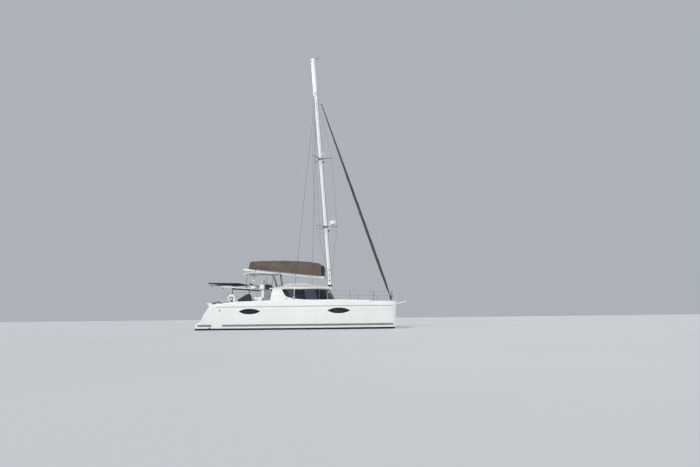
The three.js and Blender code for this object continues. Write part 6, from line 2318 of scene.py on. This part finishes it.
def make_curtain_and_hardtop_shade():
    """A rolled curtain under the hardtop's starboard edge, tied in five places. Its near-black cloth also
    stands as painted shade under the hardtop's edge
    """
    rings = []
    for x in steps(-4.25, -2.45, 64):
        span = (x + 4.2) / TIE_GAP % 1
        squeeze = 1 - 0.2 * exp(-((span - 0.5) * TIE_GAP / 0.04) ** 2)
        middle = hardtop_under(x) - CURTAIN_DROP - 0.012 * sin(pi * span)
        ring = []
        for a in turns(24):
            r = 0.043 * squeeze * (1 + 0.07 * sin(3 * a + 11 * x) + 0.04 * sin(5 * a - 17 * x))
            ring.append((x, CURTAIN_Y + r * cos(a), middle + r * sin(a)))
        rings.append(ring)
    piece = Shape().loft(rings).piece("rolled_curtain_and_shade", "boat", "navy_dark", "navy_canvas", (), 60)
    ties = Shape()
    for x in steps(-4.2, -2.4, 5):
        middle = hardtop_under(x) - CURTAIN_DROP + 0.002
        ring = [(x, CURTAIN_Y + 0.05 * cos(a), middle + 0.054 * sin(a)) for a in turns(20)]
        ties.tube(ring, 0.006, 6, closed=True)
    ties.piece("curtain_ties", "boat", "strap", "navy_canvas")


def make_side_screen():
    """A mesh screen that hangs in waves from a rod by the helm column"""
    low, high = SCREEN_Z
    rows = []
    for z in steps(low, high, 22):
        row = []
        for t in steps(0, 1, 26):
            wave = 0.022 * sin(2 * pi * 3 * t) * mix(1, 0.6, (z - low) / (high - low))
            hem = 0.008 * sin(9 * t) * (z < 2.0)
            row.append((mix(*SCREEN_X, t), SCREEN_Y + wave, z + hem))
        rows.append(row)
    screen = Shape().skin(rows).piece("side_screen", "boat", "screen", "navy_canvas", (), 70)
    thicken(screen, 0.003)
    rod = Shape()
    rod.rod((-2.06, SCREEN_Y, 2.53), (-1.58, SCREEN_Y, 2.53), 0.012)
    rod.rod((-2.04, SCREEN_Y, 2.53), (-2.04, SCREEN_Y, 2.68), 0.008, 8)
    rod.piece("screen_rod", "boat", "dull_steel", "stainless")


def make_settee_cushion():
    pad("settee_pad", *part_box("settee_cushion"), "settee_cushion", crown=0.025)


for gear_name, gear_side in SIDES.items():
    make_underwater(gear_name, gear_side)
    make_engine_lid(gear_name, gear_side)
    make_locker_lid(gear_name)
    make_net(gear_name, gear_side)
    make_guardrail(gear_name, gear_side)
make_beam()
make_sprit()
make_windlass()
make_foredeck_panels()
make_davits()
make_solar_panel()
make_buoy()
make_buoy_holder()
make_locker_cover()
make_chocks()
make_aerial()
make_deck_bags()
make_curtain_and_hardtop_shade()
make_side_screen()
make_settee_cushion()

# The model's own pieces that still show get a finish by their slot
SLOT_LOOKS = {
    "gelcoat": "gelcoat", "deck": "deck", "antifouling": "antifouling", "engine": "engine", "drive": "drive",
    "bronze": "bronze", "window_glass": "glass", "anodised": "anodised", "spar": "spar",
    "stainless": "dull_steel",
}
for subpart in frame["record"]["subparts"]:
    node = frame["nodes"][subpart["node"]]
    if node.hide_render:
        continue
    look = SLOT_LOOKS[subpart["material_slot"]]
    if not node.material_slots:
        node.data.materials.append(None)
    for holder in node.material_slots:
        holder.link = "OBJECT"
        holder.material = LOOKS[look]
